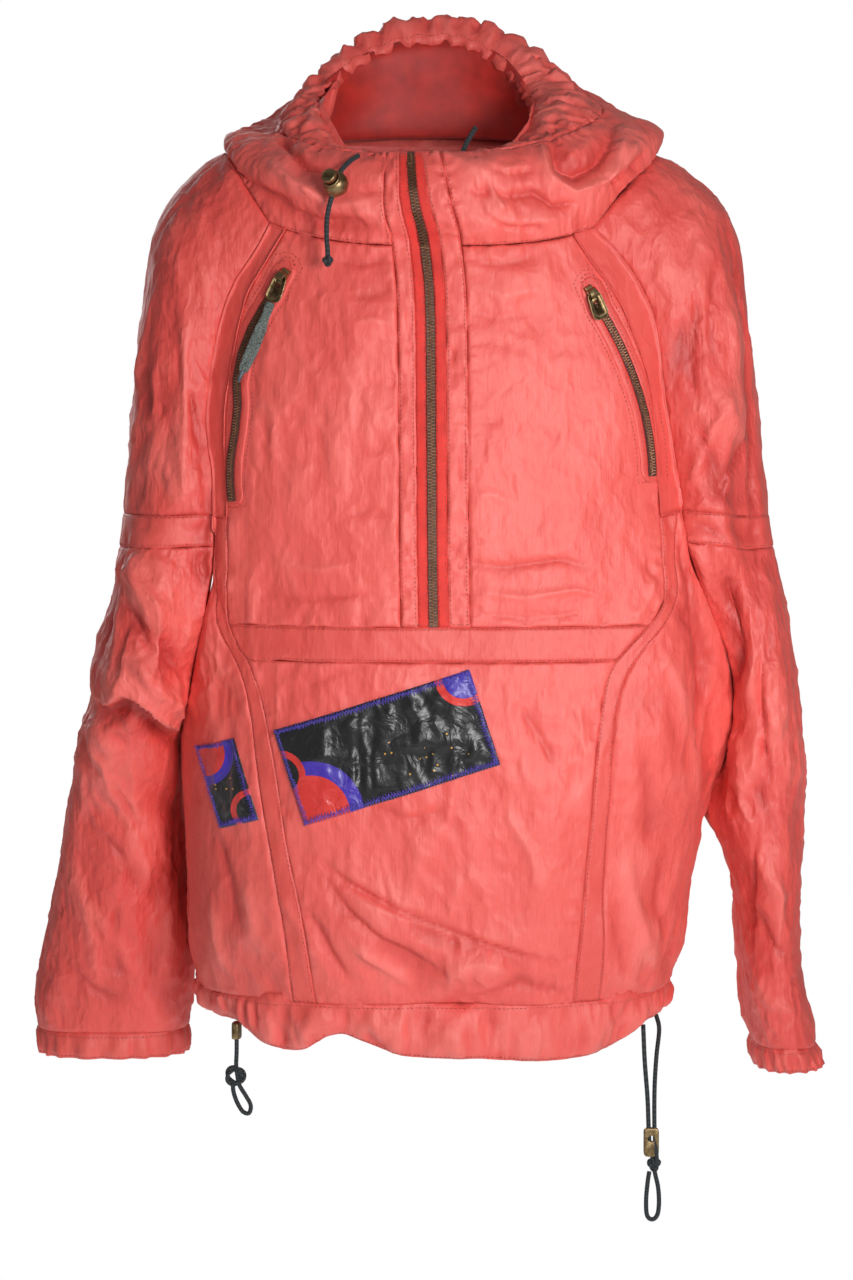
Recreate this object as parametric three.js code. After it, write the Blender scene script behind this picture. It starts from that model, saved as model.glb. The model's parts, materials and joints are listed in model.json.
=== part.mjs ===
// A half-zip pullover track jacket in washed nylon, worn shape, with nobody in it.
// It is built as a maker cuts it: every panel, band, casing, zip, cord and lock is a piece of its own.
// Millimetres, +Z up, the front faces -Y, the wearer's right is -X. The origin is where the
// wearer's neck base carries the jacket, midway between the shoulders.
import * as THREE from "three";

// ---------- driving sizes ----------
const clothWall = 1.6; // shell cloth with its seam allowances
const trimWall = 1.2; // zip tape, patches and lining
const seamGap = 0.4; // between neighbouring pieces
const standOff = 0.5; // from a panel to what is sewn on it
const panelFullness = 0.85; // below 1 flattens the front and the back of a ring
const hemSeam = -632;
const waistBandLow = -366;
const waistBandHigh = -339;
const sideBandTop = -264;
const elbowBandHigh = -264;
const elbowBandLow = -286;
const collarSeam = -40;
const cuffSeam = -680;
const underarm = { right: -432, left: -488 };
const chainWidth = 7;
const tapeReach = 11.5; // from the middle of the front zip to the edge of its tape
const cordSides = 8;

// Heights of the cut rows. Above the waist band a row is named by its height at the centre front.
const lowerRows = [-632, -604, -575, -546, -517, -488, -460, -432, -410, -388, -366];
const upperRows = [-339, -320, -303, -286, -264, -236, -208, -180, -152, -124, -96, -68, -40];
const torsoRows = [...lowerRows, ...upperRows];

// ---------- small helpers ----------
const mix = (a, b, t) => a + (b - a) * t;
const signOf = (side) => (side === "right" ? -1 : 1);
const radians = THREE.MathUtils.degToRad;
const power = (value, exponent) => Math.sign(value) * Math.abs(value) ** exponent;
const steps = (count) => Array.from({ length: count + 1 }, (_, i) => i / count);
const between = (rows, low, high) => rows.filter((row) => row >= low && row <= high);

// A table with named columns and a row for each section. It is read on a smooth curve through its rows.
function table(columns, rows) {
  const sorted = [...rows].sort((a, b) => a[0] - b[0]);
  const slope = (i, c) => {
    const before = sorted[Math.max(i - 1, 0)];
    const after = sorted[Math.min(i + 1, sorted.length - 1)];
    return (after[c] - before[c]) / (after[0] - before[0]);
  };
  return (at, name) => {
    const c = columns.indexOf(name);
    if (at <= sorted[0][0]) return sorted[0][c];
    if (at >= sorted.at(-1)[0]) return sorted.at(-1)[c];
    const i = sorted.findIndex((row, k) => at >= row[0] && at <= sorted[k + 1][0]);
    const span = sorted[i + 1][0] - sorted[i][0];
    const t = (at - sorted[i][0]) / span;
    const [h0, h1] = [(1 + 2 * t) * (1 - t) ** 2, t * t * (3 - 2 * t)];
    const [g0, g1] = [t * (1 - t) ** 2, t * t * (t - 1)];
    return h0 * sorted[i][c] + h1 * sorted[i + 1][c] + span * (g0 * slope(i, c) + g1 * slope(i + 1, c));
  };
}

// ---------- the torso ----------
const torsoRing = table(
  ["height", "right", "left", "front", "back"],
  [
    [-680, 184, 178, 126, 110],
    [-632, 193, 186, 134, 118],
    [-590, 201, 198, 148, 128],
    [-500, 203, 212, 154, 130],
    [-430, 205, 238, 152, 128],
    [-366, 208, 246, 148, 124],
    [-300, 210, 229, 143, 122],
    [-223, 210, 212, 138, 120],
    [-142, 205, 205, 131, 117],
    [-86, 196, 196, 125, 110],
    [-34, 176, 178, 116, 100],
    [30, 165, 170, 100, 88],
  ],
);

// Degrees from the centre back to the raglan seams, down to the underarm.
const backRaglanTurn = {
  right: table(
    ["height", "turn"],
    [
      [30, 38],
      [-31, 42],
      [-83, 47],
      [-174, 53],
      [-240, 56],
      [-302, 58],
      [-360, 65],
      [-400, 76],
      [-432, 90],
    ],
  ),
  left: table(
    ["height", "turn"],
    [
      [30, 38],
      [-34, 42],
      [-86, 47],
      [-142, 52],
      [-223, 56],
      [-292, 60],
      [-366, 68],
      [-430, 80],
      [-488, 90],
    ],
  ),
};

// Sideways place of the seams on the front, from the middle of the body: the inner and outer edges of
// the band that runs from the neck to the hem, and the armhole.
const rightSeams = table(
  ["height", "bandIn", "bandOut", "armhole"],
  [
    [-632, 94, 112, 190],
    [-557, 105, 121, 200],
    [-510, 116, 130, 204],
    [-450, 125, 140, 204],
    [-398, 136, 147, 195],
    [-368, 147, 157, 189],
    [-347, 161, 170, 184],
    [-320, 163, 172, 179],
    [-291, 162, 173, 175],
    [-236, 163, 173, 173],
    [-173, 164, 178, 178],
    [-89, 148, 162, 162],
    [-36, 117, 131, 131],
    [30, 100, 114, 114],
  ],
);
const leftSeams = table(
  ["height", "bandIn", "bandOut", "armhole"],
  [
    [-632, 104, 125, 184],
    [-560, 110, 127, 200],
    [-492, 116, 130, 216],
    [-460, 118, 132, 225],
    [-430, 121, 133, 231],
    [-400, 125, 137, 231],
    [-372, 132, 147, 226],
    [-351, 150, 162, 219],
    [-325, 172, 183, 210],
    [-287, 172, 183, 195],
    [-226, 170, 185, 185],
    [-174, 166, 176, 176],
    [-139, 157, 171, 171],
    [-103, 143, 165, 165],
    [-80, 132, 155, 155],
    [-57, 114, 140, 140],
    [-36, 101, 120, 120],
    [30, 84, 104, 104],
  ],
);
const frontSeams = { right: rightSeams, left: leftSeams };

// The front zip leans, and steps sideways where the collar is sewn on.
const zipLine = table(
  ["height", "across"],
  [
    [-366, -3],
    [-290, -4.5],
    [-174, -5.5],
    [-88, -6.5],
    [-52, -10],
    [-34, -13.5],
    [-20, -18],
    [-6, -20.5],
    [21, -24],
  ],
);
const placketReach = { right: 25, left: 28 };

const neckline = {
  front: (x) => -50 + 20 * Math.abs(x / 135) ** 3,
  back: (x) => 30 + 2 * Math.abs(x / 112) ** 2,
};

// A point of the torso. The turn runs from the centre front, 0, to 90 at the left side and 180 at the back.
function torsoPoint(turn, height) {
  const across = Math.sin(radians(turn));
  const along = Math.cos(radians(turn));
  const width = torsoRing(height, across < 0 ? "right" : "left");
  const depth = torsoRing(height, along > 0 ? "front" : "back");
  return new THREE.Vector3(
    width * power(across, panelFullness),
    -depth * power(along, panelFullness),
    height,
  );
}

// The turn at which the front of the torso lies x from the middle.
function turnAt(x, height) {
  const width = torsoRing(height, x < 0 ? "right" : "left");
  const share = THREE.MathUtils.clamp(x / width, -1, 1);
  return THREE.MathUtils.radToDeg(Math.asin(power(share, 1 / panelFullness)));
}

// Rows bend up from the level waist band to the neckline.
function rowHeight(row, x, face) {
  if (row <= waistBandHigh) return row;
  const share = (row - waistBandHigh) / (collarSeam - waistBandHigh);
  return mix(waistBandHigh, neckline[face](x), share);
}

// A border gives, for a row, the turn and the height of its point.
function borderAt(row, face, turnOf) {
  let height = row;
  let turn = turnOf(height);
  for (let pass = 0; pass < 8; pass++) {
    height = rowHeight(row, torsoPoint(turn, height).x, face);
    turn = turnOf(height);
  }
  return { turn, height };
}
const onFront = (distanceOf) => (row) =>
  borderAt(row, "front", (height) => turnAt(distanceOf(height), height));
const raglan = (side, face) => (row) =>
  borderAt(row, face, (height) => {
    if (height <= underarm[side]) return signOf(side) * 90;
    if (face === "back") return signOf(side) * (180 - backRaglanTurn[side](height, "turn"));
    return turnAt(signOf(side) * frontSeams[side](height, "armhole"), height);
  });
const bandEdge = (side, edge) => onFront((height) => signOf(side) * frontSeams[side](height, edge));
const zipEdge = (offset) => onFront((height) => zipLine(height, "across") + offset);

// The rows of points between two borders of the torso.
function torsoRowsBetween(from, to, columns, rows, face = "front") {
  return rows.map((row) => {
    const [a, b] = [from(row), to(row)];
    return steps(columns).map((t) => {
      const turn = mix(a.turn, b.turn, t);
      const height = mix(a.height, b.height, t);
      const x = torsoPoint(turn, height).x;
      return torsoPoint(turn, t === 0 || t === 1 ? height : rowHeight(row, x, face));
    });
  });
}

// ---------- the sleeves ----------
// Each row is a ring round the arm. Its middle, its reach outward, forward and back, its height on
// the outer side, and how far it turns to the front and to the back before it meets the body.
const sleeveColumns = [
  "height", "top", "out", "inner", "middle", "shift", "front", "back", "turnFront", "turnBack",
];
const sleeveRing = {
  right: table(sleeveColumns, [
    [-40, 27, 170, 90, 100, -4, 100, 90, 60, 72],
    [-68, 0, 203, 90, 126, -2, 98, 92, 76, 88],
    [-96, -32, 219, 100, 150, 0, 92, 95, 96, 102],
    [-124, -68, 226, 120, 170, 0, 88, 98, 108, 114],
    [-180, -146, 237, 150, 195, 4, 82, 102, 120, 126],
    [-236, -222, 246, 160, 206, 5, 84, 102, 124, 130],
    [-303, -303, 258, 172, 215, 5, 92, 97, 128, 134],
    [-352, -352, 267, 180, 221, 6, 100, 92, 136, 142],
    [-380, -380, 272, 186, 226, 8, 104, 88, 146, 152],
    [-404, -404, 277, 196, 232, 10, 90, 84, 160, 162],
    [-432, -432, 284, 206, 243, 4, 72, 84, 180, 180],
    [-460, -460, 291, 208, 248, 14, 66, 76, 180, 180],
    [-488, -488, 298, 207, 252, 26, 62, 70, 180, 180],
    [-568, -568, 314, 201, 260, 46, 62, 60, 180, 180],
    [-648, -648, 329, 199, 264, 52, 58, 54, 180, 180],
    [-680, -680, 328, 204, 267, 52, 48, 46, 180, 180],
    [-704, -704, 326, 205, 267, 52, 46, 44, 180, 180],
  ]),
  left: table(sleeveColumns, [
    [-40, 25, 176, 90, 100, -4, 100, 90, 58, 72],
    [-68, -2, 216, 90, 130, -2, 98, 92, 76, 88],
    [-96, -34, 234, 105, 158, 0, 92, 95, 98, 104],
    [-124, -70, 242, 125, 180, 0, 88, 98, 110, 116],
    [-180, -148, 250, 155, 204, 4, 84, 102, 120, 126],
    [-236, -224, 260, 170, 214, 5, 84, 102, 122, 128],
    [-303, -303, 269, 185, 226, 5, 86, 98, 128, 134],
    [-352, -352, 274, 195, 236, 4, 86, 94, 136, 140],
    [-404, -404, 279, 205, 246, 2, 84, 90, 148, 150],
    [-460, -460, 286, 210, 252, 0, 82, 88, 166, 168],
    [-488, -488, 289, 217, 255, 0, 82, 86, 180, 180],
    [-516, -516, 289, 228, 259, 0, 80, 85, 180, 180],
    [-544, -544, 288, 237, 262, 0, 79, 84, 180, 180],
    [-610, -610, 291, 243, 267, 0, 77, 80, 180, 180],
    [-648, -648, 297, 246, 271, -2, 72, 74, 180, 180],
    [-680, -680, 303, 252, 277, -4, 62, 62, 180, 180],
    [-704, -700, 310, 256, 283, -6, 58, 58, 180, 180],
  ]),
};

const bodyEdge = (side, face, row) => {
  const edge = raglan(side, face)(row);
  return torsoPoint(edge.turn, edge.height);
};

// A point of the sleeve: around runs from 0 at the front raglan seam, over the outside, to 1 at the back.
function sleevePoint(side, row, around) {
  const ring = (name) => sleeveRing[side](row, name);
  const round = (turn) => {
    const [out, forward] = [Math.cos(radians(turn)), Math.sin(radians(turn))];
    const reach = out > 0 ? ring("out") - ring("middle") : ring("middle") - ring("inner");
    const depth = forward < 0 ? ring("front") : ring("back");
    return new THREE.Vector3(
      signOf(side) * (ring("middle") + reach * power(out, panelFullness)),
      ring("shift") + depth * power(forward, panelFullness),
      row,
    );
  };
  const point = round(mix(-ring("turnFront"), ring("turnBack"), around));
  if (row < underarm[side]) {
    point.z = mix(row, ring("top"), Math.sin(Math.PI * around));
    return point;
  }
  const [front, back] = [bodyEdge(side, "front", row), bodyEdge(side, "back", row)];
  point.z = mix(mix(front.z, back.z, around), ring("top"), Math.sin(Math.PI * around));
  const startPull = front.clone().sub(round(-ring("turnFront"))).setZ(0);
  const endPull = back.clone().sub(round(ring("turnBack"))).setZ(0);
  return point
    .addScaledVector(startPull, (1 - around) ** 3)
    .addScaledVector(endPull, around ** 3);
}

const sleeveColumnsAround = 12;
const backColumns = 10;
const sleeveRows = (side) => [
  ...between(torsoRows, underarm[side], collarSeam),
  ...between([-460, -488, -517, -546, -575, -604, -630, -656, cuffSeam], cuffSeam, underarm[side] - 1),
];

function sleeveSheet(side, from, to, low, high) {
  const rows = sleeveRows(side).filter((row) => row >= low && row <= high).sort((a, b) => a - b);
  const columns = steps(sleeveColumnsAround).filter((t) => t >= from - 1e-6 && t <= to + 1e-6);
  const ordered = side === "right" ? [...columns].reverse() : columns;
  return rows.map((row) => ordered.map((around) => sleevePoint(side, row, around)));
}

// ---------- the collar ----------
// Rings of the big gathered collar: 0 its base seam, 5 the seam of its casing, 6 the drawn-in edge,
// 7 the inside of the casing, 8 to 10 the inside of the collar, down again.
const collarRing = table(
  ["step", "right", "left", "front", "back", "frontTop", "rightTop", "leftTop", "backTop"],
  [
    [0, 165, 170, 118, 90, -50, 25, 22, 31],
    [1, 169, 175, 126, 97, -36, 34, 36, 54],
    [2, 165, 171, 130, 104, -20, 38, 43, 78],
    [3, 154, 160, 128, 108, -4, 42, 51, 99],
    [4, 139, 147, 121, 106, 12, 43, 57, 114],
    [5, 128, 130, 109, 98, 21, 47, 62, 124],
    [6, 112, 101, 98, 88, 14, 64, 72, 143],
    [7, 96, 76, 90, 74, 1, 70, 66, 124],
    [8, 97, 84, 86, 74, -8, 58, 56, 102],
    [9, 106, 106, 86, 78, -20, 42, 42, 76],
    [10, 130, 136, 92, 80, -36, 26, 26, 46],
  ],
);
const casingSeam = 5;
const collarSteps = [0.9, 1.8, 2.8, 3.9, casingSeam];
const drawnEdge = 6;
const casingEnd = 7;

function collarPoint(turn, step) {
  const across = Math.sin(radians(turn));
  const along = Math.cos(radians(turn));
  const ring = (name) => collarRing(step, name);
  const side = across < 0 ? "right" : "left";
  const face = along > 0 ? "front" : "back";
  return new THREE.Vector3(
    ring(side) * power(across, panelFullness),
    -ring(face) * power(along, panelFullness),
    mix(ring(side + "Top"), ring(face + "Top"), Math.abs(along) ** (along > 0 ? 1.3 : 1.7)),
  );
}

// The turn round the collar of a point of the neck seam.
function collarTurn(point) {
  const ring = (name) => collarRing(0, name);
  const across = power(point.x / ring(point.x < 0 ? "right" : "left"), 1 / panelFullness);
  const along = power(-point.y / ring(point.y < 0 ? "front" : "back"), 1 / panelFullness);
  return THREE.MathUtils.radToDeg(Math.atan2(across, along));
}

// The neck seam: the top points of every piece that the collar is sewn to, from front to front.
function neckSeam() {
  const top = (rows) => rows.at(-1);
  const yoke = (side) => [
    zipEdge(signOf(side) * placketReach[side]),
    bandEdge(side, "bandIn"),
  ];
  const [leftIn, leftOut] = yoke("left");
  const [rightIn, rightOut] = yoke("right");
  const row = [collarSeam];
  const runs = [
    top(torsoRowsBetween(leftIn, leftOut, 5, row)),
    top(torsoRowsBetween(leftOut, raglan("left", "front"), 1, row)),
    top(sleeveSheet("left", 0, 1, collarSeam, collarSeam)),
    top(torsoRowsBetween(raglan("left", "back"), backTo("right"), backColumns, row, "back")),
    top(sleeveSheet("right", 0, 1, collarSeam, collarSeam)),
    top(torsoRowsBetween(raglan("right", "front"), rightOut, 1, row)),
    top(torsoRowsBetween(rightOut, rightIn, 5, row)),
  ];
  return runs.flatMap((run, i) => (i ? run.slice(1) : run));
}

// The back runs on from the left raglan seam past the centre back, so the right one is counted on.
function backTo(side) {
  return (row) => {
    const edge = raglan(side, "back")(row);
    return { turn: edge.turn + 360, height: edge.height };
  };
}

// The collar follows the lean of the front zip, less and less towards its sides.
function onCollar(turn, step) {
  const point = collarPoint(turn, step);
  const share = Math.max(0, 1 - Math.abs(turn) / 60);
  const lean = (height) => zipLine(height, "across");
  return point.setX(point.x + share * (lean(point.z) - lean(neckline.front(0))));
}

// ---------- folds ----------
// The large folds and slack of the cloth. Each runs from one place to another as seen from the front
// or the back; its width is to the side where it has died away, and a depth below 0 is a hollow.
const foldColumns = ["face", "x1", "z1", "x2", "z2", "width", "depth"];
const foldRows = [
  ["front", -112, -548, 96, -634, 17, 7],
  ["front", -84, -578, 60, -652, 14, -6],
  ["front", 120, -560, 150, -640, 15, 6],
  ["front", -150, -560, -128, -640, 14, 6],
  ["front", -60, -440, -20, -560, 22, -4],
  ["front", 60, -400, 92, -560, 20, 4],
  ["front", 168, -350, 188, -520, 16, 7],
  ["front", 222, -300, 216, -480, 14, -15],
  ["front", 238, -180, 246, -420, 9, -9],
  ["front", 205, -90, 222, -300, 15, 6],
  ["front", -196, -240, -206, -400, 13, -12],
  ["front", -226, -290, -232, -390, 15, 9],
  ["front", -282, -408, -232, -420, 11, -11],
  ["front", -206, -110, -222, -270, 14, -6],
  ["front", -246, -480, -276, -640, 15, 6],
  ["front", -230, -560, -238, -660, 12, -6],
  ["front", 252, -560, 266, -660, 10, -6],
  ["front", -90, -100, -20, -112, 14, 4],
  ["front", 30, -92, 120, -112, 13, -4],
  ["front", -70, -330, 10, -300, 16, -3],
  ["back", -150, -60, -60, -260, 26, 7],
  ["back", 150, -60, 60, -260, 26, 7],
  ["back", -120, -300, -90, -600, 26, 8],
  ["back", 110, -320, 90, -610, 26, 8],
  ["back", 0, -360, 10, -620, 28, 7],
  ["back", -60, -400, -40, -630, 20, -6],
  ["back", 60, -380, 50, -620, 20, -6],
  ["back", -240, -300, -262, -600, 18, -8],
  ["back", 250, -320, 262, -600, 14, -8],
];
const folds = foldRows.map((row) => {
  const fold = Object.fromEntries(foldColumns.map((name, i) => [name, row[i]]));
  fold.from = new THREE.Vector2(fold.x1, fold.z1);
  fold.run = new THREE.Vector2(fold.x2, fold.z2).sub(fold.from);
  return fold;
});

function foldDepth(point) {
  const here = new THREE.Vector2(point.x, point.z);
  let depth = 0;
  for (const fold of folds) {
    if ((fold.face === "front") !== point.y < 8) continue;
    const share = here.clone().sub(fold.from).dot(fold.run) / fold.run.lengthSq();
    const along = THREE.MathUtils.clamp(share, 0, 1);
    const away = here.distanceTo(fold.from.clone().addScaledVector(fold.run, along)) / fold.width;
    const taper = Math.sin(Math.PI * THREE.MathUtils.clamp(0.12 + 0.76 * along, 0, 1));
    depth += fold.depth * taper * Math.exp(-away * away);
  }
  const fromSide = THREE.MathUtils.smoothstep(Math.abs(point.y - 8), 0, 30);
  return depth * fromSide;
}

// Soft unevenness of worn cloth, so that no large area is a clean curve.
function slack(point) {
  const { x, y, z } = point;
  return (
    1.3 * Math.sin(x / 31 + z / 67 + 1.1) * Math.sin(z / 43 - y / 51) +
    0.9 * Math.sin(x / 19 - z / 37 + y / 29)
  );
}

// ---------- from a sheet of points to a solid wall ----------
const sheets = [];

// A sheet is rows of outer points, from bottom to top and from left to right as seen from outside.
function addSheet(name, rows, material, wall = clothWall, options = {}) {
  sheets.push({ name, rows, material, wall, ...options });
}

function rowNormals(rows) {
  const count = rows[0].length;
  return rows.map((row, r) =>
    row.map((point, c) => {
      const right = row[Math.min(c + 1, count - 1)].clone().sub(row[Math.max(c - 1, 0)]);
      const above = rows[Math.min(r + 1, rows.length - 1)][c];
      const up = above.clone().sub(rows[Math.max(r - 1, 0)][c]);
      return right.cross(up).normalize();
    }),
  );
}

const spot = (point) => [point.x, point.y, point.z].map((v) => Math.round(v * 20)).join();

// Neighbouring pieces share their normals along a seam, so their walls meet flush.
function shareNormals(shape) {
  const sums = new Map();
  for (const sheet of sheets) {
    sheet.normals = rowNormals(sheet.rows);
    sheet.rows.flat().forEach((point, i) => {
      const normal = sheet.normals.flat()[i];
      const key = spot(point);
      sums.set(key, (sums.get(key) ?? new THREE.Vector3()).add(normal));
    });
  }
  for (const sheet of sheets) {
    sheet.normals = sheet.rows.map((row) => row.map((point) => sums.get(spot(point)).clone().normalize()));
    if (sheet.smooth === false) continue;
    sheet.rows = sheet.rows.map((row, r) =>
      row.map((point, c) => point.clone().addScaledVector(sheet.normals[r][c], shape(point))),
    );
    if (sheet.halvedBase) halveSteps(sheet.rows[0], sheet.normals[0]);
  }
}

// Lays every second point of a row, and its normal, midway between its neighbours.
function halveSteps(points, normals) {
  for (let i = 1; i < points.length; i += 2) {
    points[i].lerpVectors(points[i - 1], points[i + 1], 0.5);
    normals[i].lerpVectors(normals[i - 1], normals[i + 1], 0.5);
  }
}

// Draws the border of a sheet in by half the seam gap, along the cloth.
function drawIn(rows, inset) {
  const [last, end] = [rows.length - 1, rows[0].length - 1];
  return rows.map((row, r) =>
    row.map((point, c) => {
      const moved = point.clone();
      const towards = (other) => other.clone().sub(point).setLength(inset);
      if (c === 0) moved.add(towards(row[1]));
      if (c === end) moved.add(towards(row[end - 1]));
      if (r === 0) moved.add(towards(rows[1][c]));
      if (r === last) moved.add(towards(rows[last - 1][c]));
      return moved;
    }),
  );
}

// The closed wall between the outer rows and the same rows moved in along the normals.
function wallGeometry(outer, normals, wall) {
  const inner = outer.map((row, r) => row.map((p, c) => p.clone().addScaledVector(normals[r][c], -wall)));
  const [rowCount, count] = [outer.length, outer[0].length];
  const points = [...outer.flat(), ...inner.flat()];
  const at = (r, c, layer) => layer * rowCount * count + r * count + c;
  const index = [];
  const quad = (a, b, c, d) => index.push(a, b, c, a, c, d);
  for (let r = 0; r < rowCount - 1; r++) {
    for (let c = 0; c < count - 1; c++) {
      quad(at(r, c, 0), at(r, c + 1, 0), at(r + 1, c + 1, 0), at(r + 1, c, 0));
      quad(at(r, c, 1), at(r + 1, c, 1), at(r + 1, c + 1, 1), at(r, c + 1, 1));
    }
    const end = count - 1;
    quad(at(r, 0, 0), at(r + 1, 0, 0), at(r + 1, 0, 1), at(r, 0, 1));
    quad(at(r, end, 0), at(r, end, 1), at(r + 1, end, 1), at(r + 1, end, 0));
  }
  for (let c = 0; c < count - 1; c++) {
    const top = rowCount - 1;
    quad(at(0, c, 0), at(0, c, 1), at(0, c + 1, 1), at(0, c + 1, 0));
    quad(at(top, c, 0), at(top, c + 1, 0), at(top, c + 1, 1), at(top, c, 1));
  }
  const geometry = new THREE.BufferGeometry();
  const numbers = points.flatMap((p) => p.toArray());
  geometry.setAttribute("position", new THREE.Float32BufferAttribute(numbers, 3));
  geometry.setIndex(index);
  return geometry;
}

// ---------- materials ----------
const finish = (color, roughness, metalness = 0) =>
  new THREE.MeshStandardMaterial({ color, roughness, metalness });
const shellCloth = finish("#ee6a63", 0.5);
const bandCloth = finish("#e9625b", 0.45);
const redTape = finish("#eb3f35", 0.7);
const liningCloth = finish("#c42a20", 0.6);
const patchCloth = finish("#26262a", 0.5);
const agedBrass = finish("#6f5a41", 0.4, 0.9);
const cordBraid = finish("#2b3034", 0.85);

// A row of a table as an object, by its columns' names.
const named = (columns, row) => Object.fromEntries(columns.map((name, i) => [name, row[i]]));

const jacket = new THREE.Group();
function addMesh(name, geometry, material, group = jacket) {
  const mesh = new THREE.Mesh(geometry, material);
  mesh.name = name;
  group.add(mesh);
  return mesh;
}

// ---------- body panels ----------
const yokeColumns = 5;
const sidePanelColumns = 3;
const sides = ["right", "left"];

for (const side of sides) {
  const outward = signOf(side);
  const placketEdge = zipEdge(outward * placketReach[side]);
  const bandIn = bandEdge(side, "bandIn");
  const bandOut = bandEdge(side, "bandOut");
  const armhole = raglan(side, "front");
  const ordered = (a, b) => (side === "right" ? [b, a] : [a, b]);
  const upper = between(torsoRows, sideBandTop, collarSeam);
  const lower = between(torsoRows, hemSeam, sideBandTop);

  const yokeRows = between(torsoRows, waistBandHigh, collarSeam);
  const yokeEdges = ordered(placketEdge, bandIn);
  addSheet(`yoke_front_${side}`, torsoRowsBetween(...yokeEdges, yokeColumns, yokeRows), shellCloth);
  addSheet(`raglan_band_${side}`, torsoRowsBetween(...ordered(bandIn, armhole), 1, upper), bandCloth);
  addSheet(`side_band_${side}`, torsoRowsBetween(...ordered(bandIn, bandOut), 1, lower), bandCloth);
  const sideEdges = ordered(bandOut, armhole);
  addSheet(`side_panel_${side}`, torsoRowsBetween(...sideEdges, sidePanelColumns, lower), shellCloth);
}
const waistBand = between(torsoRows, waistBandLow, waistBandHigh);
const lowerFront = between(torsoRows, hemSeam, waistBandLow);
const frontEdges = [bandEdge("right", "bandIn"), bandEdge("left", "bandIn")];
addSheet("waist_band", torsoRowsBetween(...frontEdges, 10, waistBand), bandCloth);
addSheet("lower_front", torsoRowsBetween(...frontEdges, 10, lowerFront), shellCloth);
addSheet(
  "back_panel",
  torsoRowsBetween(raglan("left", "back"), backTo("right"), backColumns, torsoRows, "back"),
  shellCloth,
);

// ---------- front zip: plackets, tapes and chain run on over the collar ----------
const zipRows = between(torsoRows, waistBandHigh, collarSeam);
function zipColumn(offset) {
  const column = torsoRowsBetween(zipEdge(offset), zipEdge(offset), 1, zipRows).map((row) => row[0]);
  const turn = collarTurn(column.at(-1));
  return [...column, ...[...collarSteps, drawnEdge].map((step) => onCollar(turn, step))];
}
function stripSheet(name, offsets, material, wall, out = 0, options = {}) {
  const columns = offsets.map(zipColumn);
  const rows = columns[0].map((_, r) => columns.map((column) => column[r].clone()));
  rows.flat().forEach((point) => point.setY(point.y - out));
  addSheet(name, rows, material, wall, options);
}
const half = chainWidth / 2;
stripSheet("placket_right", [-placketReach.right, -tapeReach], shellCloth, clothWall);
stripSheet("zip_tape_right", [-tapeReach, -half], redTape, trimWall);
stripSheet("zip_chain", [-half, half], agedBrass, 2.4, 0.8);
stripSheet("zip_tape_left", [half, tapeReach], redTape, trimWall);
stripSheet("placket_left", [tapeReach, placketReach.left], shellCloth, clothWall);

// ---------- sleeves ----------
for (const side of sides) {
  addSheet(`sleeve_upper_${side}`, sleeveSheet(side, 0, 1, elbowBandHigh, collarSeam), shellCloth);
  addSheet(`elbow_band_${side}`, sleeveSheet(side, 0, 1, elbowBandLow, elbowBandHigh), bandCloth);
  addSheet(`sleeve_lower_front_${side}`, sleeveSheet(side, 0, 0.5, cuffSeam, elbowBandLow), shellCloth);
  addSheet(`sleeve_lower_back_${side}`, sleeveSheet(side, 0.5, 1, cuffSeam, elbowBandLow), shellCloth);
}

// ---------- collar ----------
// The base row keeps the points of the pieces below and halves the steps between them.
const neck = neckSeam().flatMap((point, i, all) =>
  i ? [all[i - 1].clone().lerp(point, 0.5), point.clone()] : [point.clone()],
);

const neckTurns = neck.map(collarTurn);
const collarMiddle = new THREE.Vector3(0, 0, 30);
const outwardFrom = (middle, point) => point.clone().sub(middle).normalize();
const endFade = (i, count, reach) => Math.min(1, i / reach, (count - 1 - i) / reach);

// The slack of the cowl: rolls that run round the collar and pleats that run up into the casing.
function collarSlack(turn, step) {
  const sideways = Math.sin(radians(turn)) ** 2;
  const rise = Math.sin((Math.PI * step) / casingSeam);
  const roll = Math.sin(step * 1.9 + radians(turn) * 2.3) * rise * (2.6 * sideways + 1.6);
  const pleat = Math.sin(radians(turn) * 17 + step * 0.8) * (step / casingSeam) ** 2 * 1.5;
  return roll + pleat;
}
const collarRows = [0, ...collarSteps].map((step) => {
  if (step === 0) return neck;
  return neckTurns.map((turn, i) => {
    const point = onCollar(turn, step);
    const share = endFade(i, neck.length, 4) * (step === casingSeam ? 0 : 1);
    return point.addScaledVector(outwardFrom(collarMiddle, point), share * collarSlack(turn, step));
  });
});
addSheet("collar", collarRows, shellCloth, clothWall, { halvedBase: true });

// The casing of the drawn-in edge: gathers run across it, close together.
const gathers = 34;
const pointsPerGather = 3;
const casingSteps = [casingSeam, 5.6, 6.2, casingEnd];
const gatherDepth = [0, 3.2, 3.6, 1.6];
const casingTurns = steps(gathers * pointsPerGather).map((t) => {
  const turn = mix(neckTurns[0], neckTurns.at(-1) + 360, t);
  return turn > 180 ? turn - 360 : turn;
});
const casingRows = casingSteps.map((step, r) =>
  casingTurns.map((turn, i) => {
    const start = casingSeam + 0.03 + 0.09 * Math.max(0, Math.cos(radians(turn)));
    const point = onCollar(turn, Math.max(step, start));
    const wave = Math.sin(((i + 0.7) / pointsPerGather) * 2 * Math.PI + 1.1 * Math.sin(i * 0.37));
    const share = endFade(i, casingTurns.length, 4);
    return point.addScaledVector(outwardFrom(collarMiddle, point), share * gatherDepth[r] * wave);
  }),
);
addSheet("collar_casing", casingRows, shellCloth, clothWall, { smooth: false });

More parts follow.
